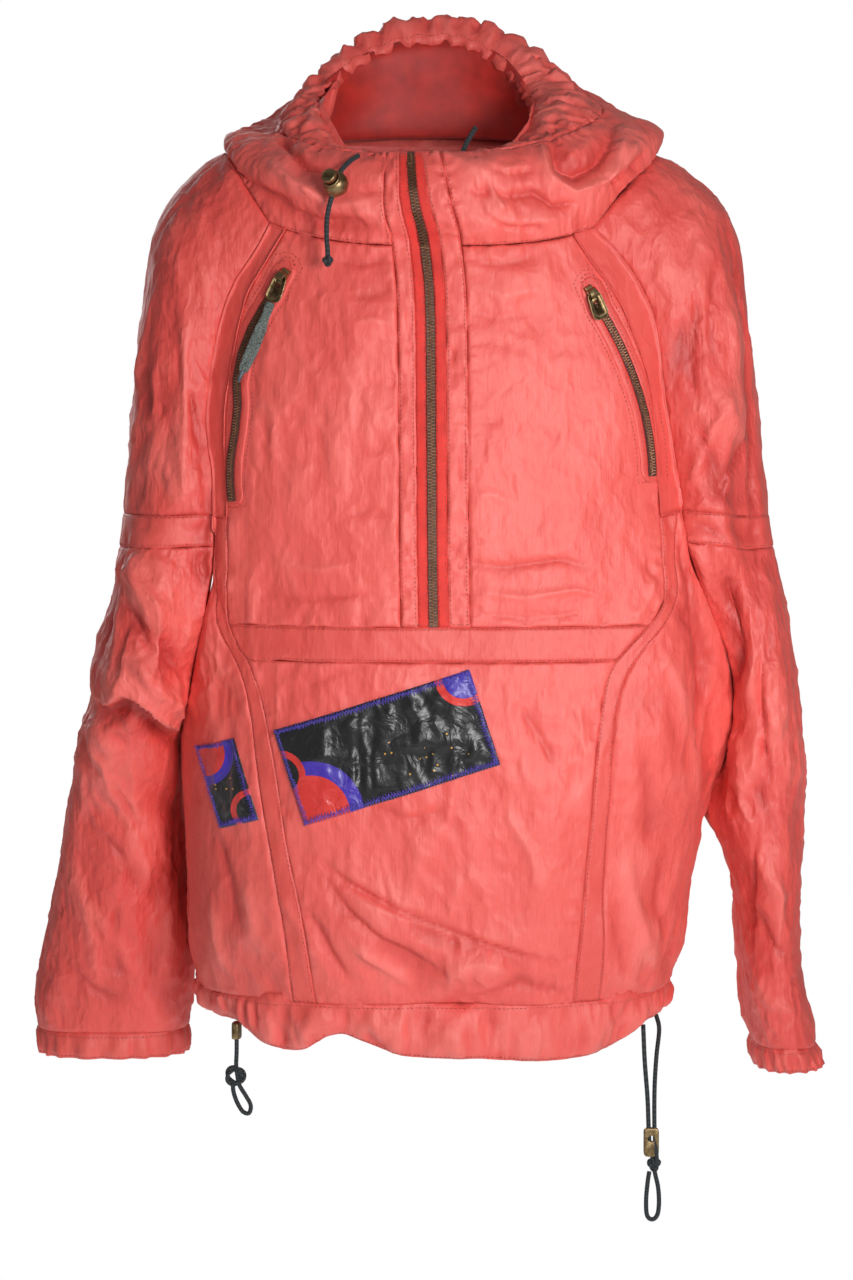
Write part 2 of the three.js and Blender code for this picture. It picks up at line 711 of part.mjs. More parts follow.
// Inside of the collar: a red lining round the back, shell cloth facings at the two sides.
const liningSteps = [10, 9, 8.2, 7.45];
const facingEnd = 30;
function liningSheet(name, from, to, material) {
  const turns = neckTurns.filter((_, i) => i >= from && i <= to && (i - from) % 2 === 0).reverse();
  const rows = liningSteps.map((step) => turns.map((turn) => onCollar(turn, step)));
  addSheet(name, rows, material, trimWall, { smooth: false });
}
liningSheet("collar_facing_left", 2, facingEnd, shellCloth);
liningSheet("collar_lining", facingEnd, neck.length - 1 - facingEnd, liningCloth);
liningSheet("collar_facing_right", neck.length - 1 - facingEnd, neck.length - 3, shellCloth);

// ---------- hem and cuffs ----------
// Height of the free edge across the front; the back hangs level.
const hemEdge = table(
  ["across", "front", "back"],
  [
    [-200, -650, -652],
    [-160, -654, -656],
    [-138, -668, -660],
    [-110, -670, -664],
    [-82, -657, -664],
    [-55, -664, -664],
    [-30, -672, -665],
    [30, -674, -666],
    [92, -678, -666],
    [140, -672, -662],
    [166, -661, -656],
    [190, -650, -652],
  ],
);
const hemWaves = 22;
const hemGap = 0.6;
function hemPoint(turn, share) {
  const along = Math.cos(radians(turn));
  const top = torsoPoint(turn, hemSeam);
  const drop = hemSeam - hemGap - hemEdge(top.x, along > 0 ? "front" : "back");
  const wave = Math.sin(hemWaves * radians(turn) + 1.5 * Math.sin(radians(turn) * 5));
  const puff = (0.016 + 0.022 * wave) * Math.sin(Math.PI * (0.1 + 0.8 * share)) * Math.min(1, share * 4);
  const spread = 1 - 0.045 * share + puff;
  return new THREE.Vector3(top.x * spread, top.y * spread, hemSeam - hemGap - drop * share);
}
function hemSheet(name, from, to) {
  const columns = steps(56).map((t) => mix(from, to, t));
  const rows = [1, 0.55, 0].map((share) => columns.map((turn) => hemPoint(turn, share)));
  addSheet(name, rows, shellCloth);
}
hemSheet("hem_casing_front", -90, 90);
hemSheet("hem_casing_back", 90, 270);

const cuffFrills = 18;
const cuffDrop = 20;
function cuffSheet(side) {
  const columns = steps(cuffFrills * 3);
  const rows = [1, 0].map((share) =>
    columns.map((around) => {
      const point = sleevePoint(side, cuffSeam - 1 - cuffDrop * share, around);
      const ring = (name) => sleeveRing[side](cuffSeam, name);
      const middle = new THREE.Vector3(signOf(side) * ring("middle"), ring("shift"), point.z);
      const wave = Math.sin(around * cuffFrills * 2 * Math.PI + 0.8 * Math.sin(around * 31));
      const outward = point.clone().sub(middle).normalize();
      return point.addScaledVector(outward, (0.4 + 2.4 * wave) * (0.25 + 0.75 * share));
    }),
  );
  if (side === "right") rows.forEach((row) => row.reverse());
  addSheet(`cuff_${side}`, rows, shellCloth, clothWall, { smooth: false });
}
cuffSheet("right");
cuffSheet("left");

shareNormals((point) => foldDepth(point) + slack(point));
for (const sheet of sheets) {
  sheet.outer = drawIn(sheet.rows, seamGap / 2);
  addMesh(sheet.name, wallGeometry(sheet.outer, sheet.normals, sheet.wall), sheet.material);
}

// ---------- what is sewn on the panels ----------
// The place on a panel's own facets that lies at x and z, with the way out of the cloth there.
function panelPlace(name, x, z) {
  const { outer, normals } = sheets.find((sheet) => sheet.name === name);
  const shares = ([a, b, c]) => {
    const area = (b.x - a.x) * (c.z - a.z) - (c.x - a.x) * (b.z - a.z);
    const u = ((b.x - x) * (c.z - z) - (c.x - x) * (b.z - z)) / area;
    const v = ((c.x - x) * (a.z - z) - (a.x - x) * (c.z - z)) / area;
    return [u, v, 1 - u - v];
  };
  for (let r = 0; r < outer.length - 1; r++) {
    for (let c = 0; c < outer[0].length - 1; c++) {
      const corners = [[r, c], [r, c + 1], [r + 1, c + 1], [r + 1, c]];
      for (const pick of [[0, 1, 2], [0, 2, 3]]) {
        const at = pick.map((i) => corners[i]);
        const weights = shares(at.map(([i, j]) => outer[i][j]));
        if (Math.min(...weights) < -1e-6) continue;
        const blend = (grid) =>
          at.reduce((sum, [i, j], k) => sum.addScaledVector(grid[i][j], weights[k]), new THREE.Vector3());
        return { point: blend(outer), out: blend(normals).normalize() };
      }
    }
  }
  throw new Error(`nothing of ${name} lies at ${x}, ${z}`);
}

// A thin piece that follows a panel: rows of x and z, moved out from the panel.
function addApplied(name, panel, rows, material, wall, lift = standOff) {
  const places = rows.map((row) => row.map(([x, z]) => panelPlace(panel, x, z)));
  const normals = places.map((row) => row.map((place) => place.out));
  const outer = places.map((row) => row.map(({ point, out }) => point.addScaledVector(out, lift + wall)));
  addMesh(name, wallGeometry(outer, normals, wall), material);
}

const patchLift = 1.3;
const patchColumns = ["name", "panel", "x", "z", "length", "height", "tilt", "step"];
const patchRows = [
  ["patch_front", "lower_front", -39, -431, 156, 76, 18, 16],
  ["patch_side", "side_panel_right", -162, -463, 32, 64, 18, 8],
];
for (const row of patchRows) {
  const { name, panel, x, z, length, height, tilt, step } = named(patchColumns, row);
  const [c, s] = [Math.cos(radians(tilt)), Math.sin(radians(tilt))];
  const columns = Math.round(length / step);
  const rows = steps(Math.round(height / step)).map((v) =>
    steps(columns).map((u) => {
      const [along, up] = [(u - 0.5) * length, (v - 0.5) * height];
      return [x + along * c - up * s, z + along * s + up * c];
    }),
  );
  addApplied(name, panel, rows, patchCloth, trimWall, patchLift);
}

// ---------- pocket zips ----------
// Each runs down beside the raglan band, from its slider at the top.
const pocketZips = {
  right: [
    [-122, -80],
    [-131, -93],
    [-142, -112],
    [-150, -132],
    [-154, -152],
    [-153, -172],
    [-155, -192],
    [-158.5, -212],
    [-159, -232],
    [-157.5, -245],
  ],
  left: [
    [120, -93],
    [129.5, -108],
    [138, -124],
    [146, -142],
    [153, -161],
    [158, -178],
    [161.5, -196],
    [163.5, -212],
    [164, -226],
  ],
};
const pullLean = { right: [-0.37, -0.93], left: [0.36, -0.93] };
const pocketChainWidth = 5.6;
const sliderLength = 14;

// Metal and cord pieces are built flat and carried to their place: X across, Y up, Z out.
function placed(name, geometry, material, frame) {
  return addMesh(name, geometry.applyMatrix4(frame), material);
}
function frameAt(origin, up, out) {
  const across = new THREE.Vector3().crossVectors(up, out).normalize();
  const straightUp = new THREE.Vector3().crossVectors(out, across).normalize();
  return new THREE.Matrix4().makeBasis(across, straightUp, out.clone().normalize()).setPosition(origin);
}
function extruded(shape, depth, curveSegments = 6) {
  return new THREE.ExtrudeGeometry(shape, { depth, bevelEnabled: false, curveSegments });
}
function roundedRect(width, height, radius) {
  const shape = new THREE.Shape();
  const [x, y] = [width / 2, height / 2];
  shape.moveTo(-x + radius, -y).lineTo(x - radius, -y).quadraticCurveTo(x, -y, x, -y + radius);
  shape.lineTo(x, y - radius).quadraticCurveTo(x, y, x - radius, y);
  shape.lineTo(-x + radius, y).quadraticCurveTo(-x, y, -x, y - radius);
  shape.lineTo(-x, -y + radius).quadraticCurveTo(-x, -y, -x + radius, -y);
  return shape;
}
const rod = (points, diameter, sides = cordSides, stepsAlong = 4 * points.length, closed = false) => {
  const curve = new THREE.CatmullRomCurve3(points.map((p) => new THREE.Vector3(...p)), closed);
  if (closed) return new THREE.TubeGeometry(curve, stepsAlong, diameter / 2, sides, true);
  const ring = new THREE.Shape().absarc(0, 0, diameter / 2, 0, 2 * Math.PI);
  const curveSegments = sides / 2;
  return new THREE.ExtrudeGeometry(ring, { steps: stepsAlong, extrudePath: curve, curveSegments });
};

// Side view of a slider: its body, and the bridge that the pull hangs from.
function sliderShape() {
  const shape = new THREE.Shape();
  shape.moveTo(0, -7).lineTo(3.6, -6).lineTo(3.6, -4).quadraticCurveTo(7.4, -3.6, 7.4, -0.5);
  shape.quadraticCurveTo(7.2, 3.6, 3.6, 4).lineTo(3.6, 6).lineTo(0, 7).lineTo(0, -7);
  const slot = new THREE.Path();
  slot.moveTo(3.8, -3).lineTo(3.8, 3.2).quadraticCurveTo(6, 3, 6.2, 0).quadraticCurveTo(6, -2.8, 3.8, -3);
  shape.holes.push(slot);
  return shape;
}

for (const side of Object.keys(pocketZips)) {
  const line = pocketZips[side];
  const panel = `yoke_front_${side}`;
  const chainRows = line
    .map(([x, z], i) => {
      const next = line[Math.min(i + 1, line.length - 1)];
      const last = line[Math.max(i - 1, 0)];
      const way = new THREE.Vector2(next[0] - last[0], next[1] - last[1]).setLength(pocketChainWidth / 2);
      return [[x + way.y, z - way.x], [x - way.y, z + way.x]];
    })
    .reverse();
  addApplied(`pocket_zip_${side}`, panel, chainRows, agedBrass, 1.8, 0.8);

  // The slider stands just above the chain, in line with it.
  const [x, z] = line[0];
  const down = new THREE.Vector2(line[1][0] - x, line[1][1] - z).normalize();
  const reach = sliderLength / 2 + 0.6;
  const { point, out } = panelPlace(panel, x - down.x * reach, z - down.y * reach);
  const up = new THREE.Vector3(-down.x, 0, -down.y);
  const frame = frameAt(point.clone().addScaledVector(out, 1.1), up, out);
  const body = extruded(sliderShape(), 6.4).translate(0, 0, -3.2).rotateY(-Math.PI / 2);
  placed(`pocket_slider_${side}`, body, agedBrass, frame);

  // The wire loop goes through the bridge and hangs down over the chain.
  const hang = new THREE.Vector3(-pullLean[side][0], 0, -pullLean[side][1]);
  const pullFrame = frameAt(new THREE.Vector3().setFromMatrixPosition(frame), hang, out);
  const wire = [
    [0, 0.3, 4.9],
    [3.8, 0.3, 4.9],
    [5.2, -2, 4.9],
    [5.9, -10, 4.5],
    [6.3, -17.6, 4.1],
    [4.4, -20.2, 4],
    [0, -20.6, 4],
    [-4.4, -20.2, 4],
    [-6.3, -17.6, 4.1],
    [-5.9, -10, 4.5],
    [-5.2, -2, 4.9],
    [-3.8, 0.3, 4.9],
  ];
  placed(`pocket_pull_${side}`, rod(wire, 1.3, 5, 24, true), agedBrass, pullFrame);
  if (side === "right") {
    const strap = extruded(roundedRect(9.5, 58, 2.5), 2.6, 3).translate(0, -50.6, 2.8);
    placed("pocket_pull_cord", strap, cordBraid, pullFrame);
  }
}

// The front zip is closed: its slider hangs inside the collar, under the end of the chain.
const hiddenSlider = frameAt(
  new THREE.Vector3(-19.3, -94.6, 7.4),
  new THREE.Vector3(0, -0.5, 0.86),
  new THREE.Vector3(0, 0.86, 0.5),
);
const sliderBody = extruded(sliderShape(), 7).translate(0, 0, -3.5).rotateY(-Math.PI / 2);
placed("zip_slider", sliderBody, agedBrass, hiddenSlider);

// ---------- drawcords and their locks ----------
// Braided cords hang free: each is a row of points on its middle line.
const cordColumns = ["name", "diameter", "points"];
const cordRows = [
  [
    "collar_cord_upper",
    3.8,
    [[-61, -110.8, 18.6], [-66, -119, 14.8], [-71, -127.5, 9.6], [-73.8, -131.5, 5.8]],
  ],
  [
    "collar_cord_lower",
    3.8,
    [[-80.3, -132.8, -13.5], [-84, -131, -27], [-84.6, -131, -42], [-83.6, -132, -56.6]],
  ],
  ["collar_cord_other_end", 3.8, [[13.2, -89.8, 9.2], [17, -87, 18], [22, -84, 30], [29, -82, 42]]],
  ["hem_cord_right", 3.6, [[-158, -78.5, -668.6], [-158.2, -77, -679], [-159.4, -76, -688.6]]],
  [
    "hem_cord_left_front",
    3.6,
    [[162, -62.7, -659.5], [163.2, -65.4, -688], [165.6, -65, -718], [166.6, -64, -741.2]],
  ],
  [
    "hem_cord_left_side",
    3.6,
    [
      [173.6, -40.2, -655.9], [175.6, -48, -666], [172.8, -60, -685],
      [171.2, -63.6, -710], [170.8, -64, -741.2],
    ],
  ],
];
for (const row of cordRows) {
  const cord = named(cordColumns, row);
  const geometry = rod(cord.points, cord.diameter, cordSides, 3 * cord.points.length);
  placed(cord.name, geometry, cordBraid, new THREE.Matrix4());
}
// Below each hem knot the cord turns back on itself in a long loop.
const cordLoops = [
  [
    "hem_loop_right",
    3.4,
    [
      [-157, -76, -708.2], [-152, -76, -712], [-147, -76, -722],
      [-149, -76, -728], [-154, -76, -725], [-160, -76, -712.6],
    ],
  ],
  [
    "hem_loop_left",
    3.6,
    [
      [171, -64, -779.2], [174.6, -64, -785], [175, -64, -803], [173.6, -64, -812],
      [169.6, -64, -815.4], [165.6, -64, -812], [165.2, -64, -797], [167.6, -64, -784],
    ],
  ],
];
for (const [name, diameter, points] of cordLoops) {
  placed(name, rod(points, diameter, 7, 20, true), cordBraid, new THREE.Matrix4());
}

const at = (x, y, z) => new THREE.Matrix4().makeTranslation(x, y, z);
const ball = (radius, across = 12, up = 8) => new THREE.SphereGeometry(radius, across, up);

// Collar: a ball lock with a push button, and a knot at the cord's end.
const ballLock = new THREE.Vector3(-77.5, -133, -4);
const buttonWay = new THREE.Vector3(-0.4, -0.78, 0.48).normalize();
const buttonTurn = new THREE.Quaternion().setFromUnitVectors(new THREE.Vector3(0, 1, 0), buttonWay);
const buttonFrame = new THREE.Matrix4().makeRotationFromQuaternion(buttonTurn);
buttonFrame.setPosition(ballLock.clone().addScaledVector(buttonWay, 12.1));
placed("collar_lock", ball(9.4), agedBrass, at(...ballLock));
placed("collar_lock_button", new THREE.CylinderGeometry(4.4, 4.7, 4.4, 14), agedBrass, buttonFrame);
placed("collar_cord_knot", ball(4.6, 9, 6), cordBraid, at(-83.6, -132.4, -61.8));

// Hem: flat locks, a wide knot that stands edge on at the right and a small one at the left.
const flatLock = roundedRect(12, 23, 3.5);
const keyhole = new THREE.Path().absarc(0, 3, 2.6, 0, 2 * Math.PI, true);
flatLock.holes.push(keyhole);
const standing = new THREE.Matrix4().makeRotationX(Math.PI / 2);
const edgeOn = new THREE.Matrix4().makeRotationZ(Math.PI / 2.4).multiply(standing);
const smallLock = extruded(roundedRect(11, 14, 3), 5.2, 3).translate(0, 0, -2.6);
const knotRing = new THREE.TorusGeometry(6, 2.6, 7, 14);
const leftLockPlace = at(168.7, -61.4, -753.2).multiply(standing);
const rightLockPlace = at(-158, -78.5, -661.1).multiply(edgeOn);
const rightKnotPlace = at(-159.5, -76, -697.8).multiply(standing);
placed("hem_lock_left", extruded(flatLock, 5.4, 4), agedBrass, leftLockPlace);
placed("hem_lock_right", smallLock, agedBrass, rightLockPlace);
placed("hem_knot_right", knotRing, cordBraid, rightKnotPlace);
placed("hem_knot_left", ball(6, 10, 7), cordBraid, at(171, -64, -771.2));

export default jacket;
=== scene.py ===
# A half-zip pullover track jacket in washed crinkled nylon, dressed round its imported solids.
# Sizes are in millimetres in the settings and in metres in Blender.
import json
import math

import bmesh
import bpy
import numpy as np
from mathutils import Matrix, Vector
from mathutils.bvhtree import BVHTree
from mathutils.kdtree import KDTree


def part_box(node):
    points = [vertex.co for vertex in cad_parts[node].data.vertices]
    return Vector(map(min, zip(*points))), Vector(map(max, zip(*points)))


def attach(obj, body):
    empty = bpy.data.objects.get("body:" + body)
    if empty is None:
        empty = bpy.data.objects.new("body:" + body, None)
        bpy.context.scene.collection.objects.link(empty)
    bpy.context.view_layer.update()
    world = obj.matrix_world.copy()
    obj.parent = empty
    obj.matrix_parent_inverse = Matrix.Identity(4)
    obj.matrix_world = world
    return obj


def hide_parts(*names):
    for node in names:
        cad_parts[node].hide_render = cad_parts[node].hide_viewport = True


mm = 0.001
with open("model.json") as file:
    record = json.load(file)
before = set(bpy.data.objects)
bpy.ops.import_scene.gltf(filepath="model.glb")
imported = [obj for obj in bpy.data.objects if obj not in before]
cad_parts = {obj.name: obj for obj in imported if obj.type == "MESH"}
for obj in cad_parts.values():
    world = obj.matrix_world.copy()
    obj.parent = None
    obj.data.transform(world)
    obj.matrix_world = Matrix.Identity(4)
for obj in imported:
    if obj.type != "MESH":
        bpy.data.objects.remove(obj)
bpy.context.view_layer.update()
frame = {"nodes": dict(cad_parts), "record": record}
print("frame loaded:", len(frame["nodes"]), "nodes")


cameraSettings = {"place": (-9, -2891, -132.5), "tip": 85.5, "lens": 101.95}
cameraData = bpy.data.cameras.new("camera")
cameraData.lens = cameraSettings["lens"]
cameraData.sensor_width = 36
cameraData.clip_end = 50
camera = bpy.data.objects.new("camera", cameraData)
bpy.context.scene.collection.objects.link(camera)
camera.location = Vector(cameraSettings["place"]) * mm
camera.rotation_euler = (math.radians(cameraSettings["tip"]), 0, 0)
bpy.context.scene.camera = camera


def latticeValue(cell, seed):
    mixed = cell[..., 0] * 73856093 + cell[..., 1] * 19349663 + cell[..., 2] * 83492791 + seed * 2654435761
    mixed = (mixed ^ (mixed >> 13)) * 1274126177 & 0xFFFFFFFF
    mixed = (mixed ^ (mixed >> 16)) * 2246822519 & 0xFFFFFFFF
    return ((mixed >> 8) & 0xFFFF) / 32767.5 - 1


def softNoise(points, size, seed=0):
    # smooth noise from -1 to 1; size is the width of its lumps in mm along x, y and z
    scaled = points / np.array(size, float)
    cell = np.floor(scaled).astype(np.int64)
    part = scaled - cell
    part = part * part * (3 - 2 * part)
    total = np.zeros(len(points))
    for corner in range(8):
        step = np.array([corner & 1, corner >> 1 & 1, corner >> 2 & 1])
        weight = np.prod(np.where(step, part, 1 - part), axis=1)
        total += weight * latticeValue(cell + step, seed)
    return total


def ridgedNoise(points, size, seed=0):
    # sharp crests between soft valleys, from -1 to 1
    return 1 - 2.6 * np.abs(softNoise(points, size, seed))


def smoothStep(value, low, high):
    share = np.clip((value - low) / (high - low), 0, 1)
    return share * share * (3 - 2 * share)


def pointsOf(mesh, what="co"):
    numbers = np.zeros(len(mesh.vertices) * 3, np.float32)
    mesh.vertices.foreach_get(what, numbers)
    return numbers.reshape(-1, 3).astype(float)


def setPoints(mesh, points):
    mesh.vertices.foreach_set("co", points.astype(np.float32).ravel())
    mesh.update()


def addObject(name, mesh):
    piece = bpy.data.objects.new(name, mesh)
    bpy.context.scene.collection.objects.link(piece)
    return piece


def evaluated(piece):
    # the piece's mesh with its modifiers applied, as a new mesh
    graph = bpy.context.evaluated_depsgraph_get()
    return bpy.data.meshes.new_from_object(piece.evaluated_get(graph), depsgraph=graph)


def islandsOf(bm):
    seen, found = set(), []
    for start in bm.faces:
        if start in seen:
            continue
        island, waiting = [], [start]
        seen.add(start)
        while waiting:
            face = waiting.pop()
            island.append(face)
            for edge in face.edges:
                for near in edge.link_faces:
                    if near not in seen:
                        seen.add(near)
                        waiting.append(near)
        found.append(island)
    return found


def outerSheet(node, wall, inner=False):
    # One side of a cloth wall: its edge strips go, and of the two faces left the outer is the larger.
    bm = bmesh.new()
    bm.from_mesh(frame["nodes"][node].data)
    bmesh.ops.remove_doubles(bm, verts=bm.verts, dist=1e-5)
    strips = [f for f in bm.faces if any(abs(e.calc_length() / mm - wall) < 0.1 for e in f.edges)]
    bmesh.ops.delete(bm, geom=strips, context="FACES")
    islands = sorted(islandsOf(bm), key=len)[-2:]
    islands.sort(key=lambda island: sum(f.calc_area() for f in island), reverse=not inner)
    kept = set(islands[0])
    bmesh.ops.delete(bm, geom=[f for f in bm.faces if f not in kept], context="FACES")
    bmesh.ops.join_triangles(
        bm, faces=bm.faces, angle_face_threshold=math.pi, angle_shape_threshold=math.pi
    )
    return bm


def denseMesh(bm, name, levels, cuts):
    # Smooth subdivision through the solid's own points, and then plain cuts between.
    mesh = bpy.data.meshes.new(name)
    bm.to_mesh(mesh)
    bm.free()
    rough = addObject(name + "_rough", mesh)
    smoother = rough.modifiers.new("smooth", "SUBSURF")
    smoother.levels = smoother.render_levels = 1
    smoother.boundary_smooth = "PRESERVE_CORNERS"
    target = pointsOf(mesh)
    for turn in range(4):
        pulled = evaluated(rough)
        drift = target - pointsOf(pulled)[:len(target)]
        bpy.data.meshes.remove(pulled)
        setPoints(mesh, pointsOf(mesh) + drift)
    smoother.levels = smoother.render_levels = levels
    dense = evaluated(rough)
    bpy.data.objects.remove(rough)
    bpy.data.meshes.remove(mesh)
    if cuts:
        bm = bmesh.new()
        bm.from_mesh(dense)
        bmesh.ops.subdivide_edges(bm, edges=bm.edges, cuts=cuts, use_grid_fill=True)
        inside = [v for v in bm.verts if not v.is_boundary]
        for turn in range(2):
            bmesh.ops.smooth_vert(
                bm, verts=inside, factor=0.5, use_axis_x=True, use_axis_y=True, use_axis_z=True
            )
        bm.to_mesh(dense)
        bm.free()
    dense.name = name
    return dense


def turnUnder(mesh, under, out, lip=None):
    # A turned edge all round the sheet: its seam allowance lies under the neighbour.
    # A lip is a way in space, and how far the edge that faces that way runs on under what is sewn to it.
    bm = bmesh.new()
    bm.from_mesh(mesh)
    bm.normal_update()
    rim = [e for e in bm.edges if e.is_boundary]
    steps = {}
    for edge in rim:
        away = (edge.verts[0].co + edge.verts[1].co) / 2 - edge.link_faces[0].calc_center_median()
        for vert in edge.verts:
            steps[vert.index] = steps.get(vert.index, Vector()) + away.normalized()
    for vert in {v for e in rim for v in e.verts}:
        away = steps[vert.index] - vert.normal * steps[vert.index].dot(vert.normal)
        away.normalize()
        reach = lip[1] if lip and away.dot(Vector(lip[0])) > 0.45 else out
        steps[vert.index] = (away * reach - vert.normal * under) * mm
    made = bmesh.ops.extrude_edge_only(bm, edges=rim)["geom"]
    for vert in [g for g in made if isinstance(g, bmesh.types.BMVert)]:
        old = [e.other_vert(vert) for e in vert.link_edges if e.other_vert(vert).index in steps]
        near = min(old, key=lambda v: (v.co - vert.co).length)
        vert.co += steps[near.index]
    bm.to_mesh(mesh)
    bm.free()


def borderOf(mesh):
    # the sheet's border points in mm, and a tree to find the nearest
    bm = bmesh.new()
    bm.from_mesh(mesh)
    border = np.array([v.co for v in bm.verts if v.is_boundary], float) / mm
    bm.free()
    tree = KDTree(len(border))
    for i, point in enumerate(border):
        tree.insert(point, i)
    tree.balance()
    return border, tree


def creaseRelief(points, facing, creases):
    # Each crease is a crest or trough along a line of (x, z) points, with a soft side and a sharp side.
    total = np.zeros(len(points))
    flat = points[:, [0, 2]]
    for line, height, above, below in creases:
        line = np.array(line, float)
        above, below, height = above * 0.85, below * 0.85, height * 1.5
        reach = 3 * max(above, below)
        low, high = line.min(0) - reach, line.max(0) + reach
        near = np.where(((flat > low) & (flat < high)).all(1) & (facing > 0.02))[0]
        if not len(near):
            continue
        spots = flat[near]
        lengths = np.linalg.norm(np.diff(line, axis=0), axis=1)
        starts = np.concatenate([[0], np.cumsum(lengths)])
        best = np.full(len(near), 1e9)
        side = np.zeros(len(near))
        along = np.zeros(len(near))
        for i, (a, b) in enumerate(zip(line[:-1], line[1:])):
            way = (b - a) / lengths[i]
            t = np.clip((spots - a) @ way, 0, lengths[i])
            away = spots - a - t[:, None] * way
            distance = np.linalg.norm(away, axis=1)
            closer = distance < best
            best[closer] = distance[closer]
            side[closer] = (way[0] * away[:, 1] - way[1] * away[:, 0])[closer]
            along[closer] = (starts[i] + t)[closer]
        share = along / starts[-1]
        taper = smoothStep(share, -0.01, 0.3) * smoothStep(1 - share, -0.01, 0.3)
        width = np.where(side > 0, above, below) * (0.75 + 0.25 * np.sin(along / 17 + line[0, 0]))
        total[near] += height * taper * np.exp(-((best / width) ** 1.3)) * smoothStep(facing[near], 0.02, 0.35)
    return total


def linearColour(hexColour):
    parts = [int(hexColour[i:i + 2], 16) / 255 for i in (1, 3, 5)]
    return (*[p / 12.92 if p <= 0.04045 else ((p + 0.055) / 1.055) ** 2.4 for p in parts], 1)


def addNode(tree, kind, settings=None, links=None):
    node = tree.nodes.new(kind)
    for key, value in (settings or {}).items():
        if isinstance(key, int) or key in node.inputs:
            node.inputs[key].default_value = value
        else:
            setattr(node, key, value)
    for key, (source, output) in (links or {}).items():
        tree.links.new(source.outputs[output], node.inputs[key])
    return node


def newMaterial(name, principled):
    material = bpy.data.materials.new(name)
    material.use_nodes = True
    tree = material.node_tree
    tree.nodes.clear()
    shader = addNode(tree, "ShaderNodeBsdfPrincipled", principled)
    addNode(tree, "ShaderNodeOutputMaterial", links={"Surface": (shader, "BSDF")})
    place = addNode(tree, "ShaderNodeTexCoord")
    return material, tree, shader, place


def setRamp(ramp, stops, kind="LINEAR"):
    ramp.color_ramp.interpolation = kind
    while len(ramp.color_ramp.elements) < len(stops):
        ramp.color_ramp.elements.new(0.5)
    for element, (position, colour) in zip(ramp.color_ramp.elements, stops):
        element.position = position
        element.color = linearColour(colour)


